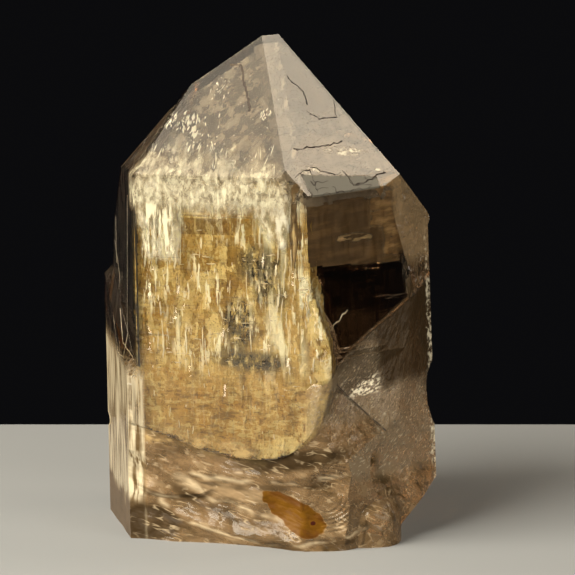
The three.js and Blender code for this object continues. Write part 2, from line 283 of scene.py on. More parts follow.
class Surface:
    """A material in the making."""

    def __init__(self, name: str) -> None:
        """Starts an empty material.

        Args:
            name: The material's name.
        """
        self.material = bpy.data.materials.new(name)
        self.material.use_nodes = True
        self.tree = self.material.node_tree
        self.tree.nodes.clear()
        self.output = self.add("ShaderNodeOutputMaterial")
        place = self.add("ShaderNodeTexCoord").outputs["Object"]
        self.millimetres = self.vector("SCALE", place, {"Scale": 1.0 / MM})

    def add(
        self,
        kind: str,
        settings: dict[str, Any] | None = None,
        sockets: dict[Any, Any] | None = None,
    ) -> bpy.types.Node:
        """Adds a node.

        Args:
            kind: The node's type.
            settings: Its settings, set first. stops are a colour ramp's stops.
            sockets: Its inputs by name or number, each a value, a socket or a Signal.

        Returns:
            The node.
        """
        node = self.tree.nodes.new(kind)
        for name, value in (settings or {}).items():
            if name == "stops":
                self._set_stops(node.color_ramp, value)
            else:
                setattr(node, name, value)
        for name, value in (sockets or {}).items():
            if isinstance(value, Signal):
                value = value.socket
            if isinstance(value, bpy.types.NodeSocket):
                self.tree.links.new(value, node.inputs[name])
            else:
                node.inputs[name].default_value = value
        return node

    @staticmethod
    def _set_stops(ramp: bpy.types.ColorRamp, stops: list[tuple[float, Colour]]) -> None:
        """Gives a colour ramp its stops.

        Args:
            ramp: The ramp.
            stops: Each stop's place and colour.
        """
        while len(ramp.elements) < len(stops):
            ramp.elements.new(0.5)
        for element, (place, colour) in zip(ramp.elements, stops):
            element.position = place
            element.color = (*colour, 1.0)

    def number(
        self,
        kind: str,
        settings: dict[str, Any] | None = None,
        sockets: dict[Any, Any] | None = None,
        output: Any = 0,
    ) -> Signal:
        """Adds a node and takes one of its outputs as a number.

        Args:
            kind: The node's type.
            settings: Its settings.
            sockets: Its inputs.
            output: The output's name or number.

        Returns:
            The output.
        """
        return Signal(self, self.add(kind, settings, sockets).outputs[output])

    def vector(self, operation: str, first: Any, others: dict[Any, Any]) -> Any:
        """Adds a Vector Math node.

        Args:
            operation: Its operation.
            first: Its first vector.
            others: Its other inputs.

        Returns:
            Its vector output.
        """
        sockets = {0: first, **others}
        return self.add("ShaderNodeVectorMath", {"operation": operation}, sockets).outputs[0]

    def spot(self, face: Face, lift: float = 0.0) -> Spot:
        """Measures each point in a face's own frame.

        Args:
            face: The face.
            lift: How far out of the face its zero lies.

        Returns:
            The distances along, up and out of the face, in millimetres.
        """
        own = face.frame() @ Matrix.Translation((0.0, 0.0, lift))
        turn = {"Location": own.to_translation(), "Rotation": own.to_euler()}
        inputs = {"Vector": self.millimetres, **turn}
        mapped = self.add("ShaderNodeMapping", {"vector_type": "TEXTURE"}, inputs)
        parts = self.add("ShaderNodeSeparateXYZ", None, {0: mapped.outputs[0]})
        return Spot(*(Signal(self, parts.outputs[i]) for i in range(3)))

    def place(self, spot: Spot, stretch: tuple[float, float, float] = (1.0, 1.0, 1.0)) -> Any:
        """Turns a place on a face back into a vector for a pattern.

        Args:
            spot: The place.
            stretch: How many times longer the pattern is along, up and out of the face.

        Returns:
            The vector.
        """
        values = (spot.along, spot.height, spot.out)
        parts = {i: value / by for i, (value, by) in enumerate(zip(values, stretch))}
        return self.add("ShaderNodeCombineXYZ", None, parts).outputs[0]

    def drift(self, spot: Spot, angle: float, long: float) -> Any:
        """Makes a vector for a pattern drawn out along a slant on a face.

        Args:
            spot: The place on the face.
            angle: The slant in degrees, rising to the right.
            long: How many times longer the pattern is along the slant.

        Returns:
            The vector.
        """
        return self.place(spot.turned((0.0, 0.0), angle), (long, 1.0, 1.0))

    def grain(
        self, size: float, vector: Any = None, detail: float = 2.0, rough: float = 0.5
    ) -> Signal:
        """Adds cloudy noise.

        Args:
            size: The size of its clouds, in millimetres.
            vector: Where to read it, or None for the part's own place.
            detail: How many finer layers it has.
            rough: How strong those layers are.

        Returns:
            The noise, about 0 to 1.
        """
        sockets = {
            "Vector": self.millimetres if vector is None else vector,
            "Scale": 1.0 / size,
            "Detail": detail,
            "Roughness": rough,
        }
        return self.number("ShaderNodeTexNoise", None, sockets, "Fac")

    def blocks(self, size: float, vector: Any) -> Signal:
        """Adds a patchwork of upright blocks, each of one value.

        Args:
            size: The size of a block, in millimetres.
            vector: Where to read it.

        Returns:
            The blocks' values, 0 to 1.
        """
        sockets = {"Vector": vector, "Scale": 1.0 / size}
        cells = self.add("ShaderNodeTexVoronoi", {"distance": "CHEBYCHEV"}, sockets)
        colour = {0: cells.outputs["Color"]}
        return self.number("ShaderNodeSeparateColor", None, colour)

    def attribute(self, name: str) -> Signal:
        """Reads a number stored on the mesh.

        Args:
            name: The attribute's name.

        Returns:
            Its value.
        """
        return self.number("ShaderNodeAttribute", {"attribute_name": name}, None, "Fac")

    def mix(self, share: Any, first: Any, second: Any) -> Any:
        """Mixes two colours.

        Args:
            share: How much of the second one there is.
            first: A colour or a socket.
            second: A colour or a socket.

        Returns:
            The mixed colour's socket.
        """
        first, second = ((*c, 1.0) if isinstance(c, tuple) else c for c in (first, second))
        sockets = {0: share, 6: first, 7: second}
        settings = {"data_type": "RGBA", "clamp_factor": True}
        return self.add("ShaderNodeMix", settings, sockets).outputs[2]

    def relief(self, height: Signal, strength: float = 1.0) -> Any:
        """Turns a height in millimetres into a bump.

        Args:
            height: The height.
            strength: How strong the bump is.

        Returns:
            The normal's socket.
        """
        sockets = {"Height": height, "Distance": MM, "Strength": strength}
        return self.add("ShaderNodeBump", None, sockets).outputs[0]

    def principled(self, sockets: dict[str, Any]) -> Any:
        """Adds a Principled shader and returns its output."""
        return self.add("ShaderNodeBsdfPrincipled", None, sockets).outputs[0]

    def blend(self, share: Signal, first: Any, second: Any) -> Any:
        """Mixes two shaders.

        Args:
            share: How much of the second one there is.
            first: A shader.
            second: A shader.

        Returns:
            The mixed shader's socket.
        """
        return self.add("ShaderNodeMixShader", None, {0: share, 1: first, 2: second}).outputs[0]

    def done(self, shader: Any) -> bpy.types.Material:
        """Ends the material.

        Args:
            shader: The surface's shader.

        Returns:
            The material.
        """
        self.tree.links.new(shader, self.output.inputs["Surface"])
        return self.material


@dataclass(frozen=True)
class QuartzFinish:
    """Clear, faintly smoky quartz with frosted breaks and an iron stain, and painted highlights and
    shade on its broken base, its etched slope and its right rim.
    """

    ior: float = 1.544
    smoke: Colour = (0.78, 0.62, 0.42)
    smoke_density: float = 75.0
    bruise: Colour = (0.095, 0.058, 0.022)
    tan: Colour = (0.20, 0.122, 0.056)
    pale: Colour = (0.31, 0.215, 0.118)
    # The colour of the painted highlights on the broken base's lips and creases.
    lip_highlight: Colour = (0.52, 0.40, 0.25)
    # The pale colour painted on the narrow left face's streaks where they catch the light.
    column: Colour = (0.44, 0.37, 0.25)
    # The dark colour of the painted shade on the broken base and the etched slope, and of the narrow
    # left face's darker lowest part.
    deep: Colour = (0.032, 0.018, 0.006)
    frost: Colour = (0.22, 0.165, 0.10)
    mist: Colour = (0.53, 0.49, 0.345)
    gold: Colour = (0.40, 0.285, 0.12)
    stain: Colour = (0.125, 0.052, 0.002)
    burnt: Colour = (0.075, 0.025, 0.001)
    rust: Colour = (0.04, 0.006, 0.002)
    grey: Colour = (0.135, 0.125, 0.10)
    # Paints the highlight along the right rim and the glints on the etched slope, and the pale crust
    # on the point.
    white: Colour = (0.95, 0.86, 0.66)
    crack: Colour = (0.045, 0.035, 0.03)

    def make(self) -> bpy.types.Material:
        """Makes the material.

        Returns:
            The material.
        """
        s = Surface("smoky_quartz")
        broken = s.attribute("broken")
        front, side, tip = (s.spot(f) for f in (Face.FRONT, Face.FRONT_RIGHT, Face.POINT_RIGHT))
        patches = s.grain(4.5, None, 2.0, 0.6)
        swirls = s.grain(2.6, s.drift(front, -20.0, 1.9), 4.0, 0.62)
        crushed = swirls.rise(0.44, 0.66)
        creases = abs(s.grain(1.5, s.drift(front, -14.0, 6.0), 2.0, 0.55) - 0.5)
        lip_highlight, hollow_shade, steps = self._shells(s, front, side)
        parted = s.grain(1.2, None, 1.0).rise(0.40, 0.60)
        # Painted highlights: thin bright crease lines and the shells' lips.
        ridge_highlight = (creases.rise(0.03, 0.0) * parted * 0.45).most(lip_highlight)
        hackle = s.grain(0.62, s.drift(side, 58.0, 3.2), 3.0, 0.68)
        # Fine painted glints.
        sparks = s.grain(0.26, s.drift(side, 32.0, 3.0), 1.0, 0.6).rise(0.61, 0.68)

        at_front = front.out.rise(-9.5, -7.5) * front.height.rise(20.0, 17.0)
        low = side.height.rise(11.0, 8.5) * side.out.rise(-4.5, -3.5)
        base = (broken * at_front).most(low)
        # Also returns a painted glint patch and the painted shade of the etched slope.
        frost, frost_share, crack, sparkle, shade = self._frost(s, side, hackle, sparks, patches)
        frost = frost * (1.0 - base)
        stain, dot = self._stain(s, front)
        # A painted highlight along the right rim.
        rim = self._rim_highlight(s, sparks)
        panel, crust = self._tip_marks(s, tip)
        mist, glow = self._mist(s, front, tip)
        fringe = front.turned((-4.5, 15.0), -9.0).patch(-10.0, 9.0, -1.5, 1.0, 0.9)
        fringe = fringe * (swirls.rise(0.40, 0.56) * 0.8 + 0.2) * front.out.rise(-2.0, -1.0)
        crack = (crack + self._lines(s, tip, panel)).least(1.0)
        column, streaks, foot = self._column(s, patches)
        other = (broken - base - frost).most(0.0)
        tawny = other * side.height.rise(37.0, 41.0) * side.along.rise(9.0, 11.0)
        # Painted shade, and partly painted highlights, on the broken base.
        dark, light = self._base_shade(front), self._base_highlight_and_pale(front)
        # Painted shadow on the right part of the front right face, joined with the etched slope's
        # painted shade.
        shade_strip = side.patch(13.0, 30.0, 23.0, 37.0, 1.2) * side.out.rise(-5.0, -4.0) * 0.45
        shadow = (shade * frost).most(shade_strip)

        dull = s.mix(swirls.rise(0.30, 0.52), self.bruise, self.tan)
        dull = s.mix(swirls.rise(0.54, 0.72) * 0.6, dull, self.pale)
        # Painted shade on the broken base's dark corner and band.
        dull = s.mix(dark * (patches.rise(0.3, 0.5) * 0.2 + 0.78) * base, dull, self.deep)
        # Painted highlights on the broken base, with a pale crushed corner.
        dull = s.mix(light * base * 0.6, dull, self.pale)
        # Painted shade in the hollows below the shells' lips, and painted highlights on the lips and
        # creases.
        dull = s.mix(hollow_shade * base * 0.8, dull, self.deep)
        dull = s.mix(ridge_highlight * base, dull, self.lip_highlight)
        dull = s.mix(fringe * 0.7, dull, self.gold)
        dull = s.mix(frost, dull, self.frost)
        dull = s.mix(tawny, dull, self.pale)
        # Painted shadow on the etched slope and the front right face.
        dull = s.mix(shadow, dull, self.deep)
        dull = s.mix(column, dull, s.mix(streaks, self.bruise, self.column))
        dull = s.mix(foot * 0.7, dull, self.deep)
        dull = s.mix(mist, dull, self.mist)
        dull = s.mix(glow, dull, self.gold)
        # Painted glints on the etched slope; with the rim and the glint patch they paint white
        # highlights, beside the pale crust.
        glints = sparks * frost * (1.0 - shade) * 0.3
        dull = s.mix((rim * 0.7 + crust + sparkle + glints).least(1.0), dull, self.white)
        dull = s.mix(panel, dull, self.grey)
        dull = s.mix(crack, dull, self.crack)
        dull = s.mix(stain, dull, s.mix(swirls.rise(0.35, 0.65), self.burnt, self.stain))
        dull = s.mix(dot, dull, self.rust)
        share = (
            base * (0.50 + patches.rise(0.35, 0.6) * 0.15 + crushed * 0.15 + light * 0.2)
            + (ridge_highlight * 0.3 + hollow_shade * 0.3 + dark * 0.4) * base
            + fringe * 0.7
            + other * (0.05 + crushed * 0.12)
            + tawny * 0.5
            + shadow * 0.8
            + frost * frost_share
            + stain
            + column * 0.62
            + foot * 0.75
            + mist * 0.85
            + glow * 0.75
            + rim * 0.6
            + panel * 0.85
            + crust * 0.75
            + crack
        ).least(1.0)

        height = self._relief(s, front, broken, frost, hackle, creases - steps * 1.6)
        normal = s.relief(height)
        tint = s.mix(base * 0.7, (1.0, 1.0, 1.0), (1.0, 0.90, 0.76))
        tint = s.mix(frost * 0.6, tint, (0.95, 0.84, 0.70))
        tint = s.mix(stain, tint, (0.95, 0.50, 0.08))
        roughness = patches * 0.03 + 0.01 + base * (crushed * 0.2 + 0.08)
        roughness = (roughness + frost * 0.14 + other * 0.05).least(0.6)
        clear = s.principled(
            {
                "Base Color": tint,
                "Roughness": roughness,
                "IOR": self.ior,
                "Transmission Weight": 1.0,
                "Normal": normal,
            }
        )
        cover = s.principled(
            {
                "Base Color": dull,
                "Roughness": 0.5,
                "Specular IOR Level": 0.1,
                "IOR": self.ior,
                "Normal": normal,
            }
        )
        whole = s.blend(share, clear, cover)
        marked = self._marked(s, front, side, tip)
        whole = s.blend(marked, self._back(s, broken), whole)
        smoke = {"Color": (*self.smoke, 1.0), "Density": self.smoke_density}
        inside = s.add("ShaderNodeVolumeAbsorption", None, smoke).outputs[0]
        s.tree.links.new(inside, s.output.inputs["Volume"])
        return s.done(whole)

    @staticmethod
    def _marked(s: Surface, front: Spot, side: Spot, tip: Spot) -> Signal:
        """Tells the faces with marks of their own from the crystal's plain back.

        Args:
            s: The material.
            front: The place on the front face.
            side: The place on the front right face.
            tip: The place on the right face of the point.

        Returns:
            1 on the marked faces and 0 on the back.
        """
        left, point = s.spot(Face.NARROW_LEFT), s.spot(Face.POINT_FRONT)
        prism = front.out.rise(-11.0, -10.5).most(side.out.rise(-7.5, -7.0))
        prism = prism.most(left.out.rise(-2.0, -1.6))
        return prism.most(tip.out.rise(-0.8, -0.6)).most(point.out.rise(-0.8, -0.6))

    def _back(self, s: Surface, broken: Signal) -> Any:
        """Makes the plain surface of the crystal's back, with its chipped parts.

        Args:
            s: The material.
            broken: Where the surface is broken.

        Returns:
            The surface's socket.
        """
        normal = s.relief(s.grain(3.0, None, 3.0, 0.55) * broken * 1.8)
        shared = {"IOR": self.ior, "Normal": normal}
        clear = s.principled({"Roughness": 0.03, "Transmission Weight": 1.0, **shared})
        chipped = s.principled({"Base Color": (*self.tan, 1.0), "Specular IOR Level": 0.1, **shared})
        return s.blend(broken * 0.12, clear, chipped)

    @staticmethod
    def _frost(
        s: Surface, side: Spot, hackle: Signal, sparks: Signal, patches: Signal
    ) -> tuple[Signal, Signal, Signal, Signal, Signal]:
        """Marks the etched lower part of the front right face.

        Args:
            s: The material.
            side: The place on that face.
            hackle: The etched grain.
            sparks: Fine painted glints.
            patches: Large soft patches.

        Returns:
            Where it is, how dull it is there, the crack in it, a painted glint patch and its painted
            shade.
        """
        below = side.height - side.along * 0.53  # measured along the slope's slanting upper edge
        slope = below.rise(28.0, 27.0) * side.along.rise(-8.0, -6.5)
        zone = slope * side.out.between(-7.0, 4.5, 0.5)
        crack_run = side.turned((-2.4, 23.8), -43.9)
        crack = crack_run.patch(0.0, 11.3, -0.09, 0.09, 0.05)
        beside = crack_run.patch(-0.5, 10.0, -5.5, -0.2, 0.8)
        flecks = s.grain(0.34, s.drift(side, 18.0, 2.2), 2.0, 0.7).rise(0.46, 0.58)
        wander = (patches - 0.5) * 6.0
        burst = Spot(side.along + wander, side.height - wander * 0.6, side.out)
        burst = burst.turned((3.2, 22.5), 14.0)
        # A painted glint patch on the slope.
        patch = burst.oval((0.0, 0.0), (3.0, 1.2), 0.95) * flecks
        # Painted shade over the slope's right part and below its upper edge.
        dark = side.along.rise(3.5, 7.0) * (side.height + (patches - 0.5) * 8.0).rise(20.5, 24.0)
        upper = below.rise(24.5, 27.0) * side.along.rise(-5.0, -1.0)
        dark = dark.most(upper * 0.8)
        share = (
            (0.34 + side.height.rise(23.0, 13.0) * 0.22)
            + side.oval((-2.5, 25.5), (4.5, 2.4), 0.5) * 0.15
            + patches.rise(0.45, 0.65) * 0.18
            + hackle.rise(0.52, 0.70) * (beside * 0.5 + 0.12)
            + patch * 0.8
            + sparks * 0.12
        ) * (1.0 - dark * 0.8)
        return zone, share, crack * s.grain(1.2, None, 1.0).rise(0.3, 0.4), zone * patch, dark

    @staticmethod
    def _shells(s: Surface, front: Spot, side: Spot) -> tuple[Signal, Signal, Signal]:
        """Marks the long curved steps of the broken base.

        Args:
            s: The material.
            front: The place on the front face.
            side: The place on the front right face.

        Returns:
            Painted highlights on their lips, painted shade in the hollows below them and along a fold,
            and the height of the steps.
        """
        sway = (s.grain(3.0, s.drift(front, -10.0, 2.0), 2.0, 0.6) - 0.5) * 0.16
        thick = s.grain(2.4, s.drift(front, -10.0, 2.0), 1.0, 0.6)
        curves = (
            (front.arc((6.0, 9.0), (19.0, 8.6)) + sway, front.patch(-12.5, 17.0, -1.0, 7.0, 1.5)),
            (front.arc((3.0, 20.2), (26.0, 10.9)) + sway, front.patch(-8.5, 14.5, 6.0, 12.0, 2.0)),
            (front.arc((9.0, 19.5), (24.0, 15.5)) + sway, front.patch(-11.0, 6.0, 3.0, 10.0, 2.0)),
            (front.arc((-9.0, 12.5), (9.0, 6.0)) - sway, front.patch(-17.5, -4.0, 4.0, 12.0, 1.5)),
        )
        lip_highlight = hollow_shade = steps = None
        for curve, reach in curves:
            bright = curve.between(-0.05, 0.0, 0.03) * reach * thick.rise(0.42, 0.58)
            shade = curve.between(0.015, 0.10, 0.03) * reach * thick.rise(0.66, 0.46)
            step = curve.rise(-0.10, 0.05) * reach
            lip_highlight = bright if lip_highlight is None else lip_highlight.most(bright)
            hollow_shade = shade if hollow_shade is None else hollow_shade.most(shade)
            steps = step if steps is None else steps + step
        # A painted shade line along a fold on the front right face.
        fold_shade = side.turned((1.1, 3.8), -100.0).patch(0.0, 3.8, -0.2, 0.2, 0.15)
        fold_shade = fold_shade * side.out.rise(-1.0, 0.0)
        return lip_highlight, hollow_shade.most(fold_shade), steps

    @staticmethod
    def _rim_highlight(s: Surface, sparks: Signal) -> Signal:
        """Paints a pale highlight along the right rim.

        Args:
            s: The material.
            sparks: Fine painted glints.

        Returns:
            The painted highlight.
        """
        right = s.spot(Face.RIGHT)
        wander = (s.grain(1.2, None, 1.0) - 0.5) * 1.2
        lit_rim = (right.out + wander).rise(-0.9, -0.6) * right.along.between(-10.5, -4.6, 0.4)
        lit_rim = lit_rim * right.height.between(6.0, 44.0, 2.0)
        return lit_rim * (s.grain(0.9, None, 3.0, 0.72).rise(0.44, 0.58) * 0.8 + sparks * 0.2)

    @staticmethod
    def _column(s: Surface, patches: Signal) -> tuple[Signal, Signal, Signal]:
        """Marks the lower part of the narrow left face.

        Args:
            s: The material.
            patches: Large soft patches.

        Returns:
            The streaked part, the streaks painted pale where they catch the light there, and the
            darker lowest part of the face.
        """
        left = s.spot(Face.NARROW_LEFT)
        upright = s.grain(0.7, s.place(left, (1.0, 14.0, 1.0)), 2.0, 0.6)
        broad = s.grain(4.0, s.place(left, (1.0, 2.0, 1.0)), 1.0)
        on_face = left.out.rise(-1.2, -0.5)
        low = (left.height + left.along * 0.12 + (upright - 0.5) * 6.0).rise(27.5, 24.5)
        streaks = (upright + (broad - 0.5) * 0.25).rise(0.36, 0.60)
        foot = (left.height + patches * 8.0).rise(11.5, 9.0) * on_face
        return low * on_face * left.along.rise(10.0, 8.0) * (1.0 - foot), streaks, foot

    @staticmethod
    def _mist(s: Surface, front: Spot, tip: Spot) -> tuple[Signal, Signal]:
        """Marks the whitish mist at the top of the front face and the glow at its right.

        Args:
            s: The material.
            front: The place on the front face.
            tip: The place on the right face of the point.

        Returns:
            The mist and the glow.
        """
        wisps = s.grain(0.8, s.place(front, (1.0, 1.7, 1.0)), 3.0, 0.75)
        upright = s.grain(0.6, s.place(front, (1.0, 7.0, 3.0)), 2.0, 0.62)
        clumps = s.grain(2.4, s.place(front, (1.0, 2.4, 1.0)), 2.0, 0.6)
        fade = (front.height + (clumps - 0.5) * 16.0).rise(57.5, 51.5)
        top = fade * front.height.rise(47.6, 50.0) * front.along.between(-16.5, 8.2, 0.6)
        off_tip = tip.out.rise(-0.15, -0.5) * front.out.rise(-9.0, -7.0)
        strand = front.patch(-2.2, -1.0, 46.5, 55.0, 0.5) * upright.rise(0.42, 0.56) * 0.3
        mist = wisps.rise(0.28, 0.66) * 0.6 + upright.rise(0.50, 0.62) * 0.15 + 0.22 + strand
        mist = mist.least(1.0) * top * off_tip
        block = Spot(front.along + (wisps - 0.5) * 2.5, front.height + clumps * 4.0, front.out)
        block = block.patch(-13.4, -8.6, 43.8, 51.5, 0.8) * front.out.rise(-0.4, -0.2)
        mist = mist.most(block * upright.rise(0.44, 0.58))
        right = front.along.between(8.9, 10.9, 0.3) * front.height.between(41.0, 51.0, 3.0)
        glow = right * upright.rise(0.46, 0.62) * front.out.rise(-1.6, -1.2) * 0.8
        return mist, glow * (1.0 - mist)

    @staticmethod
    def _lines(s: Surface, tip: Spot, panel: Signal) -> Signal:
        """Marks the dark cracks on the faces of the point.

        Args:
            s: The material.
            tip: The place on the right face of the point.
            panel: The dull panel there.

        Returns:
            The mark.
        """
        bent = abs(s.grain(1.9, s.place(tip, (1.5, 1.0, 1.0)), 1.0) - 0.5)
        net = bent.rise(0.022, 0.008) * s.grain(2.0, None, 0.0).rise(0.40, 0.48) * panel
        point = s.spot(Face.POINT_FRONT)
        wander = (s.grain(0.9, None, 1.0) - 0.5) * 0.5
        upright = point.turned((-2.2, -4.8), -69.0)
        upright = Spot(upright.along, upright.height + wander, upright.out)
        line = upright.patch(0.0, 8.4, -0.16, 0.16, 0.08) * point.out.between(-0.3, 0.3, 0.05)
        short = point.patch(-3.8, -2.2, -5.1, -4.85, 0.1) * point.out.between(-0.3, 0.3, 0.05)
        return (net + line + short * 0.8).least(1.0)

    @staticmethod
    def _stain(s: Surface, front: Spot) -> tuple[Signal, Signal]:
        """Marks the iron stain.

        Args:
            s: The material.
            front: The place on the front face.

        Returns:
            The stain, and the dark dot in it.
        """
        leaf = front.turned((7.7, 5.0), -32.0)
        wander = (s.grain(1.5, None, 1.0) - 0.5) * 1.3
        narrow = leaf.along.rise(-6.0, 2.0) * 1.1 + 1.2
        across = (leaf.height - 0.35 + wander) / narrow
        run = (leaf.along + wander) / 5.1
        ends = run * run * run * run
        stain = (across * across + ends).rise(1.10, 0.90) * front.out.between(-6.0, 1.0, 0.4)
        dot = front.oval((10.9, 3.8), (0.33, 0.30)) * stain
        return stain, dot

    @staticmethod
    def _base_highlight_and_pale(front: Spot) -> Signal:
        """Marks pale parts of the broken base: painted highlights along a shell's slope and on an
        upward-facing slope at the right, and a pale crushed patch at the left corner.

        Args:
            front: The place on the front face.

        Returns:
            The mark.
        """
        corner = front.oval((-16.9, 8.8), (3.2, 3.4), 0.5)
        band = front.turned((-1.8, 7.9), -6.0).oval((0.0, 0.0), (7.5, 1.2), 0.6)
        right = front.oval((13.6, 3.6), (3.4, 2.2), 0.6)
        return (corner + band + right * 0.3).least(1.0)

    @staticmethod
    def _base_shade(front: Spot) -> Signal:
        """Marks painted shade on the broken base: at its lower left corner, where clear stone looks
        dark, and in a band along the step below the golden veil.

        Args:
            front: The place on the front face.

        Returns:
            The mark.
        """
        corner = front.oval((-13.6, 2.8), (5.0, 2.7), 0.4)
        band = front.turned((7.5, 12.8), 8.0).oval((0.0, 0.0), (8.5, 1.6), 0.6)
        return (corner + band).least(1.0)

    @staticmethod
    def _tip_marks(s: Surface, tip: Spot) -> tuple[Signal, Signal]:
        """Marks the dull panel and the pale crust on the right face of the point.

        Args:
            s: The material.
            tip: The place on that face.

        Returns:
            The panel and the crust.
        """
        on_face = tip.out.rise(-0.3, -0.1)
        wander = (s.grain(1.5, None, 1.0) - 0.5) * 0.8
        line = (tip.height + tip.along * 0.14 + wander).rise(-23.7, -24.1)
        panel = line * (tip.along + wander).between(-5.6, 7.6, 0.2) * on_face
        crust = tip.turned((4.4, -20.3), -8.0).oval((0.0, 0.0), (3.6, 0.8), 0.7)
        dots = tip.oval((-3.4, -22.8), (1.6, 0.8), 0.7) + tip.oval((9.2, -24.0), (1.2, 0.3), 0.6)
        grainy = s.grain(0.7, s.drift(tip, -6.0, 2.5), 2.0, 0.65).rise(0.42, 0.6)
        return panel, (crust + dots).least(1.0) * grainy * on_face

    @staticmethod
    def _relief(
        s: Surface, front: Spot, broken: Signal, frost: Signal, hackle: Signal, creases: Signal
    ) -> Signal:
        """Works out the fine relief of the surface.

        Args:
            s: The material.
            front: The place on the front face.
            broken: Where the surface is broken.
            frost: Where it is etched.
            hackle: The etched grain.
            creases: The creases and steps of the broken base.

        Returns:
            Its height in millimetres.
        """
        facing = s.add("ShaderNodeNewGeometry").outputs["Normal"]
        upness = s.add("ShaderNodeSeparateXYZ", None, {0: facing}).outputs[2]
        prism = abs(Signal(s, upness)).rise(0.35, 0.2) * (1.0 - broken)
        lines = s.grain(1.0, s.place(front, (9.0, 0.55, 9.0)), 1.0)
        folds = s.grain(5.2, s.drift(front, -16.0, 2.0), 2.0, 0.45)
        shell = front.turned((12.4, 7.4), 0.0)
        distance = (shell.along * shell.along + shell.height * shell.height * 1.6).root()
        rings = (distance * 9.0 + folds * 12.0).sine() * distance.between(2.2, 6.4, 0.8)
        rings = rings * front.along.rise(11.8, 12.8)
        fine = s.grain(0.5, s.drift(front, -24.0, 3.0), 1.0, 0.6)
        chipped = abs(s.grain(1.5, s.drift(front, -24.0, 1.8), 1.0, 0.5) - 0.5)
        breaks = folds * 1.8 + creases * 0.35 + chipped * 0.4 + fine * 0.04 + rings * 0.04
        return lines * prism * 0.03 + breaks * broken * (1.0 - frost * 0.7) + hackle * frost * 0.20


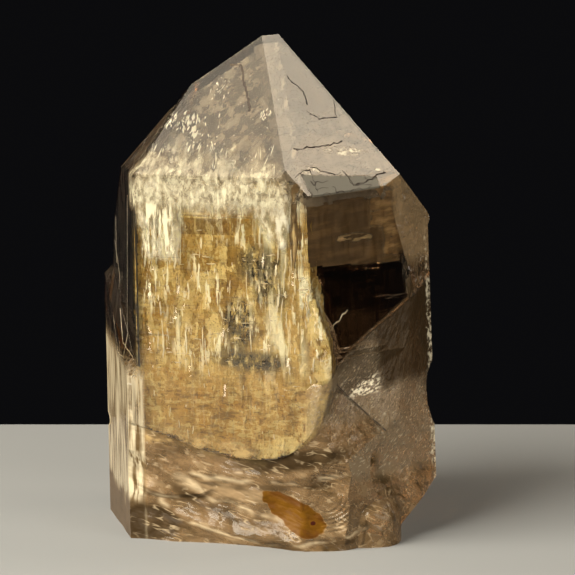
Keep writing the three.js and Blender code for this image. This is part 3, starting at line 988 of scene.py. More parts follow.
@dataclass(frozen=True)
class VeilFinish:
    """A golden veil of tiny upright fractures, with whitish, brown and grey patches."""

    gold: Colour = (0.64, 0.425, 0.125)
    honey: Colour = (0.50, 0.285, 0.065)
    deep: Colour = (0.38, 0.22, 0.042)
    light: Colour = (0.86, 0.70, 0.30)
    cream: Colour = (1.0, 0.95, 0.66)
    amber: Colour = (0.50, 0.24, 0.02)
    brown: Colour = (0.15, 0.08, 0.022)
    grey: Colour = (0.095, 0.083, 0.047)
    white: Colour = (1.0, 0.96, 0.76)

    def make(self) -> bpy.types.Material:
        """Makes the material.

        Returns:
            The material.
        """
        s = Surface("golden_veil")
        spot = s.spot(Face.FRONT)
        edge = s.attribute("edge")
        clouds = s.grain(3.4, None, 4.0, 0.68)
        fine = s.grain(0.9, s.place(spot, (1.0, 1.8, 4.0)), 3.0, 0.74)
        wisps = s.grain(0.8, s.place(spot, (3.2, 1.0, 4.0)), 2.0, 0.7)
        wander = s.add(
            "ShaderNodeTexNoise", None, {"Vector": s.millimetres, "Scale": 0.9, "Detail": 0.0}
        )
        bent = s.vector("ADD", s.place(spot, (1.0, 3.2, 6.0)), {1: wander.outputs["Color"]})
        blocks = s.blocks(1.5, bent)
        chips = s.blocks(0.55, bent)
        streaks = s.grain(0.62, s.place(spot, (1.0, 7.0, 5.0)), 3.0, 0.62)
        groups = s.grain(4.0, s.place(spot, (1.0, 1.8, 4.0)), 1.0)
        ribbons = s.grain(1.5, s.place(spot, (1.0, 7.0, 5.0)), 2.0, 0.6)
        ledges = s.grain(0.8, s.place(spot, (9.0, 1.0, 5.0)), 1.0, 0.6)
        upper = (spot.height + (clouds - 0.5) * 5.0).rise(47.2, 49.6)
        middle = (spot.height + clouds * 6.0).rise(26.0, 33.0)
        right = (spot.along + spot.height * 0.12).between(9.0, 13.6, 1.2) * middle
        low = spot.height.rise(27.0, 21.0)
        ragged = edge + (clouds - 0.5) * 3.0
        # A painted highlight: the veil is lighter along the tongue's bevelled rim at its right and
        # bottom.
        crescent = ragged.rise(3.6, 1.6) * spot.along.rise(0.0, 6.0) * spot.height.rise(38.0, 33.0)

        specks = s.grain(0.32, None, 1.0, 0.7)
        amber = s.grain(2.2, s.place(spot, (1.6, 1.0, 4.0)), 1.0)

        shade = (clouds.rise(0.60, 0.36) * 0.7 + low * 0.2).least(1.0)
        colour = s.mix(shade, self.gold, self.deep)
        colour = s.mix(low * 0.6, colour, self.honey)
        colour = s.mix(amber.rise(0.58, 0.66) * 0.4, colour, self.amber)
        colour = s.mix(blocks.rise(0.55, 0.85) * (middle * 0.5 + 0.1), colour, self.light)
        colour = s.mix(blocks.rise(0.30, 0.10) * (middle * 0.5 + 0.1), colour, self.deep)
        colour = s.mix(fine.rise(0.53, 0.64) * 0.55, colour, self.light)
        colour = s.mix(fine.rise(0.42, 0.32) * 0.6, colour, self.brown)
        colour = s.mix(wisps.rise(0.46, 0.36) * (low * 0.45 + 0.15), colour, self.brown)
        colour = s.mix(wisps.rise(0.55, 0.63) * (low * 0.4 + 0.1), colour, self.light)
        colour = s.mix(specks.rise(0.40, 0.30) * 0.6, colour, self.brown)
        colour = s.mix(ledges.rise(0.60, 0.66) * middle * 0.3, colour, self.brown)
        dim = (
            spot.oval((3.8, 40.6), (3.3, 3.0), 0.8)
            + spot.oval((0.6, 32.2), (2.4, 3.5), 0.8)
            + spot.oval((3.2, 26.9), (4.2, 1.5), 0.8)
            + spot.oval((5.6, 36.6), (2.6, 1.6), 0.8) * 0.7
            + spot.oval((-1.4, 27.6), (2.0, 1.4), 0.8) * 0.6
            + spot.oval((-9.2, 32.6), (1.0, 1.4), 0.9) * 0.5
        ).least(1.0) * fine.rise(0.70, 0.46)
        colour = s.mix(dim * 0.85, colour, self.grey)
        brown = (
            spot.patch(-8.2, -0.6, 45.0, 47.3, 0.12) * (chips * 0.5 + 0.5)
            + spot.oval((0.3, 47.0), (0.7, 1.7), 0.3) * 0.7
        ).least(1.0)
        colour = s.mix(brown * 0.8, colour, self.brown)
        line = spot.patch(-14.0, -3.4, 47.62, 47.80, 0.05) * 0.6
        colour = s.mix(line, colour, self.brown)
        pale = s.mix(fine.rise(0.40, 0.54), (0.60, 0.50, 0.30), self.white)
        colour = s.mix(upper * 0.9, colour, pale)
        block = Spot(spot.along + (fine - 0.5) * 2.0, spot.height + (clouds - 0.5) * 4.0, spot.out)
        block = block.patch(-13.6, -7.9, 41.4, 47.8, 0.6) * streaks.rise(0.38, 0.52)
        colour = s.mix(block * 0.95, colour, self.white)
        # The painted highlight along the tongue's rim.
        colour = s.mix(crescent * fine.rise(0.36, 0.52) * 0.7, colour, self.light)
        hung = right * (1.0 - dim * 0.8)
        colour = s.mix(hung * ribbons.rise(0.56, 0.42) * 0.5, colour, self.gold)
        colour = s.mix(hung * ribbons.rise(0.46, 0.56) * 0.9, colour, self.light)
        colour = s.mix(hung * ribbons.rise(0.55, 0.60) * 0.8, colour, self.cream)
        bright = streaks.rise(0.53, 0.58) * groups.rise(0.40, 0.56) * (middle * 0.95 + 0.1)
        bright = bright * (1.0 - dim * 0.85) * (1.0 - right * 0.5)
        colour = s.mix((bright * (1.0 - brown)).least(1.0), colour, self.cream)

        cover = 0.86 + bright * 0.3 + (clouds - 0.5) * 0.6 - dim * 0.2 + (block + crescent) * 0.3
        cover = (cover + (blocks - 0.5) * 0.25 * middle).least(0.98).most(0.05)
        cover = cover * (1.0 - (spot.height + (clouds - 0.5) * 8.0).rise(51.0, 55.4) * 0.7)
        shader = s.principled(
            {
                "Base Color": colour,
                "Roughness": 0.5,
                "Specular IOR Level": 0.2,
                "Alpha": cover * ragged.rise(-0.3, 0.5),
                "Normal": s.relief(fine * 0.6 + streaks * 0.5),
            }
        )
        return s.done(shader)


@dataclass(frozen=True)
class ShardFinish:
    """Bright ragged shards on a sheet that is otherwise open."""

    name: str
    face: Face
    colour: Colour
    size: float = 0.5
    share: float = 0.4  # of the sheet that they cover, where they group
    group_size: float = 5.0
    slant: float = 0.0  # degrees by which the shards rise to the right
    long: float = 6.0  # how many times longer they are along it
    metal: float = 0.25

    def make(self) -> bpy.types.Material:
        """Makes the material.

        Returns:
            The material.
        """
        s = Surface(self.name)
        spot = s.spot(self.face)
        edge = s.attribute("edge")
        shards = s.grain(self.size, s.drift(spot, self.slant, self.long), 4.0, 0.6)
        groups = s.grain(self.group_size, None, 3.0, 0.6)
        level = 0.68 - self.share * 0.3 - groups * 0.18 + 0.09
        cut = ((shards - level) * 22.0).most(0.0).least(1.0)
        deep = tuple(c * 0.62 for c in self.colour)
        shader = s.principled(
            {
                "Base Color": s.mix(groups.rise(0.35, 0.6), deep, self.colour),
                "Metallic": self.metal,
                "Roughness": 0.32,
                "Alpha": cut * edge.rise(0.0, 1.0) * 0.95,
                "Normal": s.relief(shards * 0.8),
            }
        )
        return s.done(shader)


@dataclass(frozen=True)
class FlakeFinish:
    """A bright internal fracture that mirrors the light."""

    name: str
    colour: Colour
    metal: float = 0.35
    roughness: float = 0.35

    def make(self) -> bpy.types.Material:
        """Makes the material.

        Returns:
            The material.
        """
        s = Surface(self.name)
        tone = s.grain(1.5, None, 3.0)
        deep = tuple(c * 0.7 for c in self.colour)
        shader = s.principled(
            {
                "Base Color": s.mix(tone.rise(0.3, 0.6), deep, self.colour),
                "Metallic": self.metal,
                "Roughness": tone * 0.2 + (self.roughness - 0.1),
            }
        )
        return s.done(shader)


@dataclass(frozen=True)
class HazeFinish:
    """A thin cloudy veil of one colour, with finer streaks."""

    name: str
    face: Face
    colour: Colour
    light: Colour
    cover: float
    slant: float = 0.0
    long: float = 1.0
    size: float = 1.5
    fade: float = 1.2
    even: float = 0.5  # how evenly it covers

    def make(self) -> bpy.types.Material:
        """Makes the material.

        Returns:
            The material.
        """
        s = Surface(self.name)
        streaks = s.grain(self.size, s.drift(s.spot(self.face), self.slant, self.long), 4.0, 0.62)
        colour = s.mix(streaks.rise(0.42, 0.66), self.colour, self.light)
        cover = (streaks.rise(0.34, 0.62) * (1.0 - self.even) + self.even) * self.cover
        edge = s.attribute("edge").rise(0.0, self.fade)
        shader = s.principled({"Base Color": colour, "Roughness": 0.55, "Alpha": cover * edge})
        return s.done(shader)


@dataclass(frozen=True)
class FloorFinish:
    """A plain pale floor."""

    colour: Colour = (0.26, 0.265, 0.27)

    def make(self) -> bpy.types.Material:
        """Makes the material.

        Returns:
            The material.
        """
        s = Surface("pale_floor")
        tone = s.grain(30.0, None, 3.0)
        dark = tuple(c * 0.96 for c in self.colour)
        sockets = {"Roughness": 0.8, "Specular IOR Level": 0.15}
        shader = s.principled({"Base Color": s.mix(tone, dark, self.colour), **sockets})
        return s.done(shader)


# ---------------------------------------------------------------- the crystal


@dataclass
class QuartzPoint:
    """The crystal itself: flat faces kept as they are, and breaks given a finer surface."""

    finish: QuartzFinish = field(default_factory=QuartzFinish)
    flat_area: float = 5.0  # square millimetres, the least area of a flat face
    flat_angle: float = 0.4  # degrees that its triangles may differ by
    rough_turns: tuple[Point, ...] = (  # broken planes: degrees from TURN, and polar angle
        (54.1, 78.8),  # frosted slope
        (58.1, 77.3),  # step along the crack
        (72.3, 85.0),  # break along the right edge
        (117.8, 137.0),  # slanting break at the right of the base
    )
    rough_angle: float = 2.0  # degrees that a plane may differ by from those
    longest: float = 0.9  # longest edge left on a break
    swell: float = 0.10  # how far a break's surface rises and falls
    swell_size: float = 2.6
    soften: int = 3
    crease: float = 32.0  # degrees from which an edge on a break is sharp

    def build(self) -> bpy.types.Object:
        """Builds the crystal and dresses it.

        Returns:
            The crystal.
        """
        form = bmesh.new()
        form.from_mesh(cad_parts[NODE].data)
        bmesh.ops.remove_doubles(form, verts=form.verts, dist=HAIR)
        low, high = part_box(NODE)
        layer = form.faces.layers.float.new("broken")
        flat = self._flat_faces(form)
        for face in form.faces:
            face[layer] = 0.0 if face in flat else 1.0
        self._refine(form, layer)
        self._work_breaks(form, layer, low, high)
        self._mark_edges(form, layer)
        bmesh.ops.triangulate(form, faces=form.faces)
        mesh = bpy.data.meshes.new(NODE + "_dressed")
        form.to_mesh(mesh)
        form.free()
        crystal = bpy.data.objects.new("quartz_crystal", mesh)
        bpy.context.scene.collection.objects.link(crystal)
        crystal.data.materials.append(self.finish.make())
        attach(crystal, BODY)
        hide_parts(NODE)
        return crystal

    def _flat_faces(self, form: bmesh.types.BMesh) -> set[bmesh.types.BMFace]:
        """Finds the triangles of large flat faces.

        Args:
            form: The crystal.

        Returns:
            Those triangles.
        """
        close = math.cos(math.radians(self.flat_angle))
        least = self.flat_area * MM * MM
        seen: set[bmesh.types.BMFace] = set()
        flat: set[bmesh.types.BMFace] = set()
        for start in form.faces:
            if start in seen:
                continue
            seen.add(start)
            group, todo = [start], [start]
            while todo:
                face = todo.pop()
                for edge in face.edges:
                    for other in edge.link_faces:
                        if other not in seen and other.normal.dot(start.normal) > close:
                            seen.add(other)
                            group.append(other)
                            todo.append(other)
            large = sum(face.calc_area() for face in group) >= least
            if large and not self._is_rough(start.normal):
                flat.update(group)
        return flat

    def _is_rough(self, normal: Vector) -> bool:
        """Tells a broken plane from a crystal face.

        Args:
            normal: The way it faces.

        Returns:
            True for a broken plane.
        """
        close = math.cos(math.radians(self.rough_angle))
        for turn, polar in self.rough_turns:
            turned, tilted = math.radians(TURN + turn), math.radians(polar)
            level = Vector((math.sin(turned), -math.cos(turned), 0.0))
            out = level * math.sin(tilted) + Vector((0.0, 0.0, math.cos(tilted)))
            if normal.dot(out) > close:
                return True
        return False

    def _refine(self, form: bmesh.types.BMesh, layer: Any) -> None:
        """Cuts the breaks into small triangles.

        Args:
            form: The crystal.
            layer: The faces' layer that marks the breaks.
        """
        for _ in range(3):
            long_edges = [
                edge
                for edge in form.edges
                if edge.calc_length() > self.longest * MM
                and all(face[layer] > 0.5 for face in edge.link_faces)
            ]
            if not long_edges:
                break
            bmesh.ops.subdivide_edges(form, edges=long_edges, cuts=1, use_grid_fill=True)
            bmesh.ops.triangulate(form, faces=[f for f in form.faces if len(f.verts) > 3])

    def _work_breaks(
        self, form: bmesh.types.BMesh, layer: Any, low: Vector, high: Vector
    ) -> None:
        """Smooths and roughens the breaks, inside the crystal's own box.

        Args:
            form: The crystal.
            layer: The faces' layer that marks the breaks.
            low: The box's lowest corner.
            high: Its highest corner.
        """
        inner = [v for v in form.verts if all(face[layer] > 0.5 for face in v.link_faces)]
        for _ in range(self.soften):
            bmesh.ops.smooth_vert(
                form, verts=inner, factor=0.5, use_axis_x=True, use_axis_y=True, use_axis_z=True
            )
        form.normal_update()
        for vert in inner:
            place = vert.co / (self.swell_size * MM)
            rise = noise.fractal(place, 0.9, 2.1, 4)
            vert.co += vert.normal * rise * self.swell * MM
        for vert in inner:
            vert.co = Vector(min(max(c, a), b) for c, a, b in zip(vert.co, low, high))

    def _mark_edges(self, form: bmesh.types.BMesh, layer: Any) -> None:
        """Keeps crystal edges crisp and breaks smooth.

        Args:
            form: The crystal.
            layer: The faces' layer that marks the breaks.
        """
        form.normal_update()
        for face in form.faces:
            face.smooth = True
        for edge in form.edges:
            if len(edge.link_faces) != 2:
                continue
            angle = math.degrees(edge.calc_face_angle(0.0))
            on_flat = any(face[layer] < 0.5 for face in edge.link_faces)
            edge.smooth = angle < (1.0 if on_flat else self.crease)


@dataclass(frozen=True)
class Stone:
    """The crystal's outside, for telling what lies inside it."""

    tree: BVHTree

    @classmethod
    def measured(cls) -> "Stone":
        """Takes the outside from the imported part."""
        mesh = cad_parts[NODE].data
        corners = [tuple(v.co) for v in mesh.vertices]
        return cls(BVHTree.FromPolygons(corners, [tuple(p.vertices) for p in mesh.polygons]))

    def depth(self, place: Vector) -> float:
        """Measures how far a point is inside the stone.

        Args:
            place: The point, in metres.

        Returns:
            The distance to the outside in millimetres, negative outside it.
        """
        distance = self.tree.find_nearest(place)[3] / MM
        return distance if self._holds(place) else -distance

    def _holds(self, place: Vector) -> bool:
        """Tells whether a point is inside, from how often a ray from it meets the outside.

        Args:
            place: The point, in metres.

        Returns:
            Whether it is inside.
        """
        heading = Vector((0.31, 0.21, 0.93)).normalized()
        start, inside = place, False
        while (met := self.tree.ray_cast(start, heading)[0]) is not None:
            start, inside = met + heading * HAIR, not inside
        return inside


STONE = Stone.measured()


# ---------------------------------------------------------------- what lies inside it


def settle(
    form: bmesh.types.BMesh, name: str, face: Face, material: bpy.types.Material
) -> bpy.types.Object:
    """Lays a shape made in a face's own millimetres in its place.

    Args:
        form: The shape, which is freed.
        name: The piece's name.
        face: The face whose frame it was made in.
        material: Its material.

    Returns:
        The piece, riding on the crystal's body.
    """
    form.transform(face.to_metres())
    mesh = bpy.data.meshes.new(name)
    form.to_mesh(mesh)
    form.free()
    mesh.shade_smooth()
    piece = bpy.data.objects.new(name, mesh)
    bpy.context.scene.collection.objects.link(piece)
    piece.data.materials.append(material)
    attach(piece, BODY)
    return piece


@dataclass
class Veil:
    """A thin uneven sheet behind a face, inside an outline on that face."""

    name: str
    face: Face
    outline: list[Point]
    depth: float
    material: bpy.types.Material
    cell: float = 0.35
    wave: float = 0.4
    wave_size: Point = (1.4, 5.0)
    skin: float = 0.3  # least distance to the stone's outside
    rounds: int = 2  # how many times its outline's corners are cut

    def build(self) -> bpy.types.Object:
        """Builds the sheet.

        Returns:
            The sheet.
        """
        outline = self._rounded(self.outline, self.rounds)
        left, right = (f(x for x, _ in outline) for f in (min, max))
        low, high = (f(y for _, y in outline) for f in (min, max))
        wide, tall = right - left, high - low
        form = bmesh.new()
        bmesh.ops.create_grid(
            form,
            x_segments=max(4, round(wide / self.cell)),
            y_segments=max(4, round(tall / self.cell)),
            size=0.5,
            matrix=Matrix.Translation(((left + right) / 2, (low + high) / 2, 0.0))
            @ Matrix.Diagonal((wide, tall, 1.0, 1.0)),
        )
        layer = form.verts.layers.float.new("edge")
        for vert in form.verts:
            x, y, _ = vert.co
            vert[layer] = self._inside(outline, x, y)
            vert.co.z = -self.depth - self._relief(x, y)
        place = self.face.to_metres()
        outside = [
            v for v in form.verts if v[layer] <= 0.0 or STONE.depth(place @ v.co) < self.skin
        ]
        bmesh.ops.delete(form, geom=outside, context="VERTS")
        return settle(form, self.name, self.face, self.material)

    @staticmethod
    def _rounded(outline: list[Point], rounds: int) -> list[Point]:
        """Cuts the corners off an outline.

        Args:
            outline: The outline's points.
            rounds: How many times they are cut.

        Returns:
            The rounder outline.
        """
        for _ in range(rounds):
            pairs = zip(outline, outline[1:] + outline[:1])
            outline = [
                (a[0] + (b[0] - a[0]) * t, a[1] + (b[1] - a[1]) * t)
                for a, b in pairs
                for t in (0.25, 0.75)
            ]
        return outline

    def _relief(self, x: float, y: float) -> float:
        """Works out how far the sheet lies behind its own depth.

        Args:
            x: The place along the face.
            y: The place up it.

        Returns:
            The distance in millimetres.
        """
        place = Vector((x / self.wave_size[0], y / self.wave_size[1], self.depth))
        return self.wave * (1.0 + noise.fractal(place, 0.8, 2.0, 4))

    @staticmethod
    def _inside(outline: list[Point], x: float, y: float) -> float:
        """Measures how far a point is inside an outline.

        Args:
            outline: The outline's points.
            x: The place along the face.
            y: The place up it.

        Returns:
            The distance to the outline, negative outside it.
        """
        crossings, nearest = 0, math.inf
        for a, b in zip(outline, outline[1:] + outline[:1]):
            run_x, run_y = b[0] - a[0], b[1] - a[1]
            if (a[1] > y) != (b[1] > y) and x < a[0] + (y - a[1]) / run_y * run_x:
                crossings += 1
            share = ((x - a[0]) * run_x + (y - a[1]) * run_y) / (run_x**2 + run_y**2)
            share = min(max(share, 0.0), 1.0)
            nearest = min(nearest, math.hypot(x - a[0] - run_x * share, y - a[1] - run_y * share))
        return nearest if crossings % 2 else -nearest


def veil_of(
    finish: HazeFinish | ShardFinish, outline: list[Point], depth: float, **shape: Any
) -> bpy.types.Object:
    """Builds a veil with a finish of its own, behind that finish's face.

    Args:
        finish: The finish, whose name the veil takes.
        outline: The veil's outline on the face.
        depth: How far behind the face it lies.
        shape: The veil's other sizes.

    Returns:
        The veil.
    """
    return Veil(finish.name, finish.face, outline, depth, finish.make(), **shape).build()


@dataclass(frozen=True)
class Scatter:
    """Where a run of slivers lies, and how large and how tilted they are."""

    count: int
    left: float
    right: float
    low: float
    high: float
    depth: Point
    wide: Point
    tall: Point
    lean: float = 6.0
    swing: float = 28.0


@dataclass
class Slivers:
    """Many thin crooked fractures behind a face."""

    name: str
    face: Face
    runs: list[Scatter]
    material: bpy.types.Material
    seed: int = 1
    skin: float = 0.35  # least distance to the stone's outside
    bends: int = 6
    crook: float = 0.45  # how far its sides wander, in widths
    thick: float = 0.03

    def build(self) -> bpy.types.Object:
        """Builds the slivers as one piece.

        Returns:
            The piece.
        """
        roll = random.Random(self.seed)
        form = bmesh.new()
        metres = self.face.to_metres()
        for run in self.runs:
            for _ in range(run.count):
                x, y = roll.uniform(run.left, run.right), roll.uniform(run.low, run.high)
                middle = Vector((x, y, -roll.uniform(*run.depth)))
                tall = run.tall[0] + (run.tall[1] - run.tall[0]) * roll.random() ** 2
                ends = [metres @ (middle + Vector((0.0, tall * t, 0.0))) for t in (-0.5, 0.0, 0.5)]
                if min(STONE.depth(end) for end in ends) > self.skin:
                    self._add(form, middle, roll.uniform(*run.wide), tall, run, roll)
        bmesh.ops.solidify(form, geom=form.faces[:], thickness=self.thick)
        return settle(form, self.name, self.face, self.material)

    def _add(
        self,
        form: bmesh.types.BMesh,
        middle: Vector,
        wide: float,
        tall: float,
        run: Scatter,
        roll: random.Random,
    ) -> None:
        """Adds one sliver.

        Args:
            form: The slivers so far.
            middle: The sliver's middle.
            wide: Its width.
            tall: Its height.
            run: The run that it belongs to.
            roll: The dice.
        """
        made = bmesh.ops.create_grid(form, x_segments=1, y_segments=self.bends, size=0.5)["verts"]
        shift = [roll.uniform(-0.5, 0.5) * self.crook for _ in range(self.bends + 1)]
        for vert in made:
            row = round((vert.co.y + 0.5) * self.bends)
            narrow = (1.0 - 0.9 * (2.0 * vert.co.y) ** 4) * roll.uniform(0.6, 1.0)
            vert.co.x = (vert.co.x * narrow + shift[row]) * wide
            vert.co.y *= tall
        lean = Matrix.Rotation(math.radians(roll.uniform(-run.lean, run.lean)), 4, "Z")
        swing = Matrix.Rotation(math.radians(roll.uniform(-run.swing, run.swing)), 4, "Y")
        bmesh.ops.transform(form, matrix=Matrix.Translation(middle) @ lean @ swing, verts=made)


@dataclass
class Seams:
    """Thin crooked ribbons behind a face, each along a few points."""

    name: str
    face: Face
    lines: list[list[Point]]
    depth: float
    wide: float
    material: bpy.types.Material
    seed: int = 3
    crook: float = 0.18
    skin: float = 0.0  # least distance to the stone's outside
    thick: float = 0.04

    def build(self) -> bpy.types.Object:
        """Builds the ribbons as one piece.

        Returns:
            The piece.
        """
        roll = random.Random(self.seed)
        form = bmesh.new()
        for line in self.lines:
            path = self._crooked(line, roll)
            start = bmesh.ops.create_vert(form, co=path[0])["vert"]
            edge = []
            last = start
            for here, there in zip(path, path[1:]):
                grown = bmesh.ops.extrude_vert_indiv(form, verts=last)
                bmesh.ops.translate(form, verts=grown["verts"], vec=there - here)
                edge += grown["edges"]
                last = grown["verts"]
            run = path[-1] - path[0]
            side = Vector((-run.y, run.x, 0.0)).normalized() * self.wide
            wall = bmesh.ops.extrude_edge_only(form, edges=edge)["geom"]
            made = [g for g in wall if isinstance(g, bmesh.types.BMVert)]
            for vert in made:
                vert.co += side * roll.uniform(0.4, 1.0)
        metres = self.face.to_metres()
        outside = [v for v in form.verts if STONE.depth(metres @ v.co) < self.skin]
        bmesh.ops.delete(form, geom=outside, context="VERTS")
        bmesh.ops.solidify(form, geom=form.faces[:], thickness=self.thick)
        bmesh.ops.recalc_face_normals(form, faces=form.faces)
        return settle(form, self.name, self.face, self.material)

    def _crooked(self, line: list[Point], roll: random.Random) -> list[Vector]:
        """Adds small bends between a line's points.

        Args:
            line: The points.
            roll: The dice.

        Returns:
            The bent line.
        """
        path = [Vector((*line[0], -self.depth))]
        for a, b in zip(line, line[1:]):
            start, end = Vector((*a, -self.depth)), Vector((*b, -self.depth))
            steps = max(1, round((end - start).length / 0.5))
            for i in range(1, steps + 1):
                bend = self.crook if i < steps else 0.0
                wander = Vector((roll.uniform(-bend, bend), roll.uniform(-bend, bend), 0.0))
                path.append(start.lerp(end, i / steps) + wander)
        return path


@dataclass
class GoldenHeart:
    """The golden zone behind the front face: its veils, its shards and its flakes."""

    outline: list[Point] = field(
        default_factory=lambda: [
            (-15.6, 16.6), (-12.0, 16.0), (-7.0, 14.4), (-3.4, 13.4), (1.0, 12.7), (5.2, 12.7),
            (8.8, 13.8), (11.0, 15.9), (13.0, 18.9), (14.2, 22.4), (14.5, 26.0), (14.0, 30.0),
            (12.9, 33.8), (12.0, 37.0), (10.8, 41.0), (10.9, 46.0), (10.4, 51.0), (8.3, 52.6),
            (6.4, 53.6), (4.8, 53.0), (2.2, 52.6), (0.9, 55.2), (-1.8, 55.4), (-3.4, 52.6),
            (-5.1, 53.4), (-7.0, 51.6), (-9.2, 52.0), (-11.2, 53.6), (-12.5, 55.2), (-14.0, 53.4),
            (-16.0, 54.6), (-16.2, 36.0),
        ]
    )
    cloud: list[Point] = field(
        default_factory=lambda: [
            (-16.0, 46.0), (-12.6, 44.6), (-9.8, 47.4), (-8.6, 50.8), (-5.2, 49.2), (-2.2, 50.8),
            (-0.4, 46.8), (1.8, 49.6), (4.0, 45.6), (6.0, 43.0), (8.6, 42.5), (9.4, 48.0),
            (9.4, 52.0), (5.0, 51.4), (0.6, 54.0), (-2.4, 53.4), (-7.0, 51.6), (-12.0, 54.4),
            (-16.0, 53.0),
        ]
    )
    slivers: list[Scatter] = field(
        default_factory=lambda: [
            Scatter(70, -14.0, -7.6, 40.5, 50.5, (0.5, 2.6), (0.12, 0.42), (0.6, 3.6), 4, 20),
            Scatter(34, -13.5, -6.0, 28.0, 41.0, (0.5, 2.6), (0.10, 0.30), (0.8, 4.2), 4, 20),
            Scatter(34, -6.0, 3.5, 28.0, 46.0, (0.5, 3.0), (0.10, 0.26), (0.7, 4.6), 4, 20),
            Scatter(40, 3.5, 9.6, 33.0, 51.0, (0.5, 3.0), (0.14, 0.42), (1.0, 6.5), 7, 20),
            Scatter(26, 7.6, 12.6, 24.0, 37.0, (0.5, 2.4), (0.14, 0.40), (1.0, 5.0), 6, 20),
            Scatter(30, -13.0, 12.0, 14.5, 30.0, (0.5, 2.2), (0.08, 0.20), (0.4, 1.8), 8, 20),
        ]
    )
    streaks: list[Point] = field(
        default_factory=lambda: [
            (-15.0, 24.0), (-6.0, 26.0), (4.0, 24.5), (9.0, 16.5), (13.4, 19.5), (13.8, 26.0),
            (13.0, 32.5), (10.6, 40.0), (10.4, 53.0), (-15.4, 53.0),
        ]
    )

    def build(self) -> list[bpy.types.Object]:
        """Builds the zone.

        Returns:
            Its pieces.
        """
        front = Face.FRONT
        gold = VeilFinish().make()
        cream = FlakeFinish("cream_fracture", (1.0, 0.92, 0.66)).make()
        levels = ShardFinish("level_shards", front, (0.95, 0.80, 0.50), 0.45, 0.12)
        cloud = HazeFinish(
            "white_cloud", front, (0.70, 0.58, 0.34), (1.0, 0.96, 0.78), 0.95,
            90.0, 2.2, 1.0, 1.6, 0.35,
        )
        return [
            Veil("golden_veil", front, self.outline, 1.2, gold).build(),
            Veil("golden_veil_behind", front, self.outline, 2.8, gold, wave=0.8, skin=0.8).build(),
            veil_of(levels, self.streaks, 0.9, wave=0.15),
            veil_of(cloud, self.cloud, 0.45, wave=0.2, wave_size=(2.0, 2.0)),
            Slivers("cream_slivers", front, self.slivers, cream, 5).build(),
        ]


@dataclass
class PointInclusions:
    """What shows through the faces of the point."""

    right_lines: list[list[Point]] = field(
        default_factory=lambda: [
            [(0.9, -7.0), (1.1, -8.2), (1.9, -8.8), (2.2, -10.4), (1.8, -12.1)],
            [(6.9, -11.8), (6.2, -13.8), (6.1, -14.6), (4.2, -14.6), (2.7, -14.6), (1.1, -13.0)],
            [(-4.5, -19.0), (-2.4, -19.1), (0.4, -19.2), (2.8, -19.0), (4.9, -18.8)],
            [(-8.1, -24.6), (-6.4, -23.3), (-4.9, -22.7), (-3.6, -22.7), (-3.9, -25.2), (-4.4, -27.4)],
            [(-3.3, -22.2), (-1.4, -23.1), (0.5, -24.0), (2.1, -23.4), (2.8, -26.0), (-0.2, -26.3)],
            [(2.8, -26.0), (5.3, -25.8), (7.5, -25.2), (9.8, -24.7)],
        ]
    )
    slivers: list[Scatter] = field(
        default_factory=lambda: [
            Scatter(60, -12.6, -8.6, -15.6, -12.8, (0.3, 1.6), (0.12, 0.40), (0.3, 1.2), 32, 30),
            Scatter(12, -8.4, -6.6, -17.0, -13.4, (0.3, 1.0), (0.20, 0.60), (0.8, 3.0), 12, 30),
            Scatter(34, -9.0, -3.4, -19.0, -13.2, (0.3, 1.6), (0.08, 0.34), (0.3, 1.6), 22, 30),
            Scatter(16, 2.3, 3.7, -13.6, -11.8, (0.3, 1.2), (0.10, 0.40), (0.3, 1.0), 40, 30),
            Scatter(14, -6.2, -3.4, -10.6, -7.0, (0.3, 1.2), (0.08, 0.26), (0.3, 1.2), 30, 30),
            Scatter(80, -15.0, 6.0, -24.8, -18.0, (0.3, 1.6), (0.06, 0.30), (0.3, 2.4), 14, 30),
            Scatter(60, -12.0, 5.0, -20.0, -6.0, (0.3, 1.6), (0.06, 0.20), (0.1, 0.4), 90, 30),
        ]
    )
    cloud: list[Point] = field(
        default_factory=lambda: [
            (-20.0, -31.0), (-17.0, -18.0), (-9.0, -15.0), (-2.0, -18.5), (6.0, -19.0),
            (13.0, -31.0),
        ]
    )

    def build(self) -> list[bpy.types.Object]:
        """Builds the inclusions.

        Returns:
            Their pieces.
        """
        dark = FlakeFinish("dark_seam", (0.025, 0.014, 0.008), 0.0, 0.6).make()
        cream = FlakeFinish("point_fracture", (1.0, 0.94, 0.74)).make()
        front, right, left = Face.POINT_FRONT, Face.POINT_RIGHT, Face.POINT_LEFT
        low_cloud = HazeFinish(
            "point_cloud", front, (0.36, 0.30, 0.18), (0.66, 0.60, 0.44), 0.92,
            90.0, 2.2, 1.2, 5.0, 0.0,
        )
        front_haze = HazeFinish(
            "front_point_haze", front, (0.22, 0.175, 0.115), (0.42, 0.35, 0.235), 0.64,
            60.0, 1.6, 1.4, 1.2, 0.55,
        )
        right_haze = HazeFinish(
            "right_point_haze", right, (0.20, 0.16, 0.11), (0.34, 0.27, 0.19), 0.7,
            8.0, 3.0, 4.0, 0.8, 0.7,
        )
        left_haze = HazeFinish(
            "left_point_haze", left, (0.030, 0.020, 0.012), (0.09, 0.06, 0.035), 0.93,
            60.0, 3.0, 1.6, 0.6, 0.7,
        )
        whole = [(-26.0, -36.0), (-3.0, 5.0), (3.0, 5.0), (26.0, -36.0)]
        flecks = Slivers("point_slivers", front, self.slivers, cream, 8, 0.25, 3, 0.1)
        return [
            veil_of(front_haze, whole, 2.2, skin=0.5),
            veil_of(right_haze, whole, 1.0, skin=0.5),
            veil_of(low_cloud, self.cloud, 0.45, wave=0.2, wave_size=(2.0, 2.0)),
            veil_of(left_haze, whole, 0.7, skin=0.3),
            flecks.build(),
            Seams("right_point_seams", right, self.right_lines, 0.02, 0.26, dark).build(),
        ]


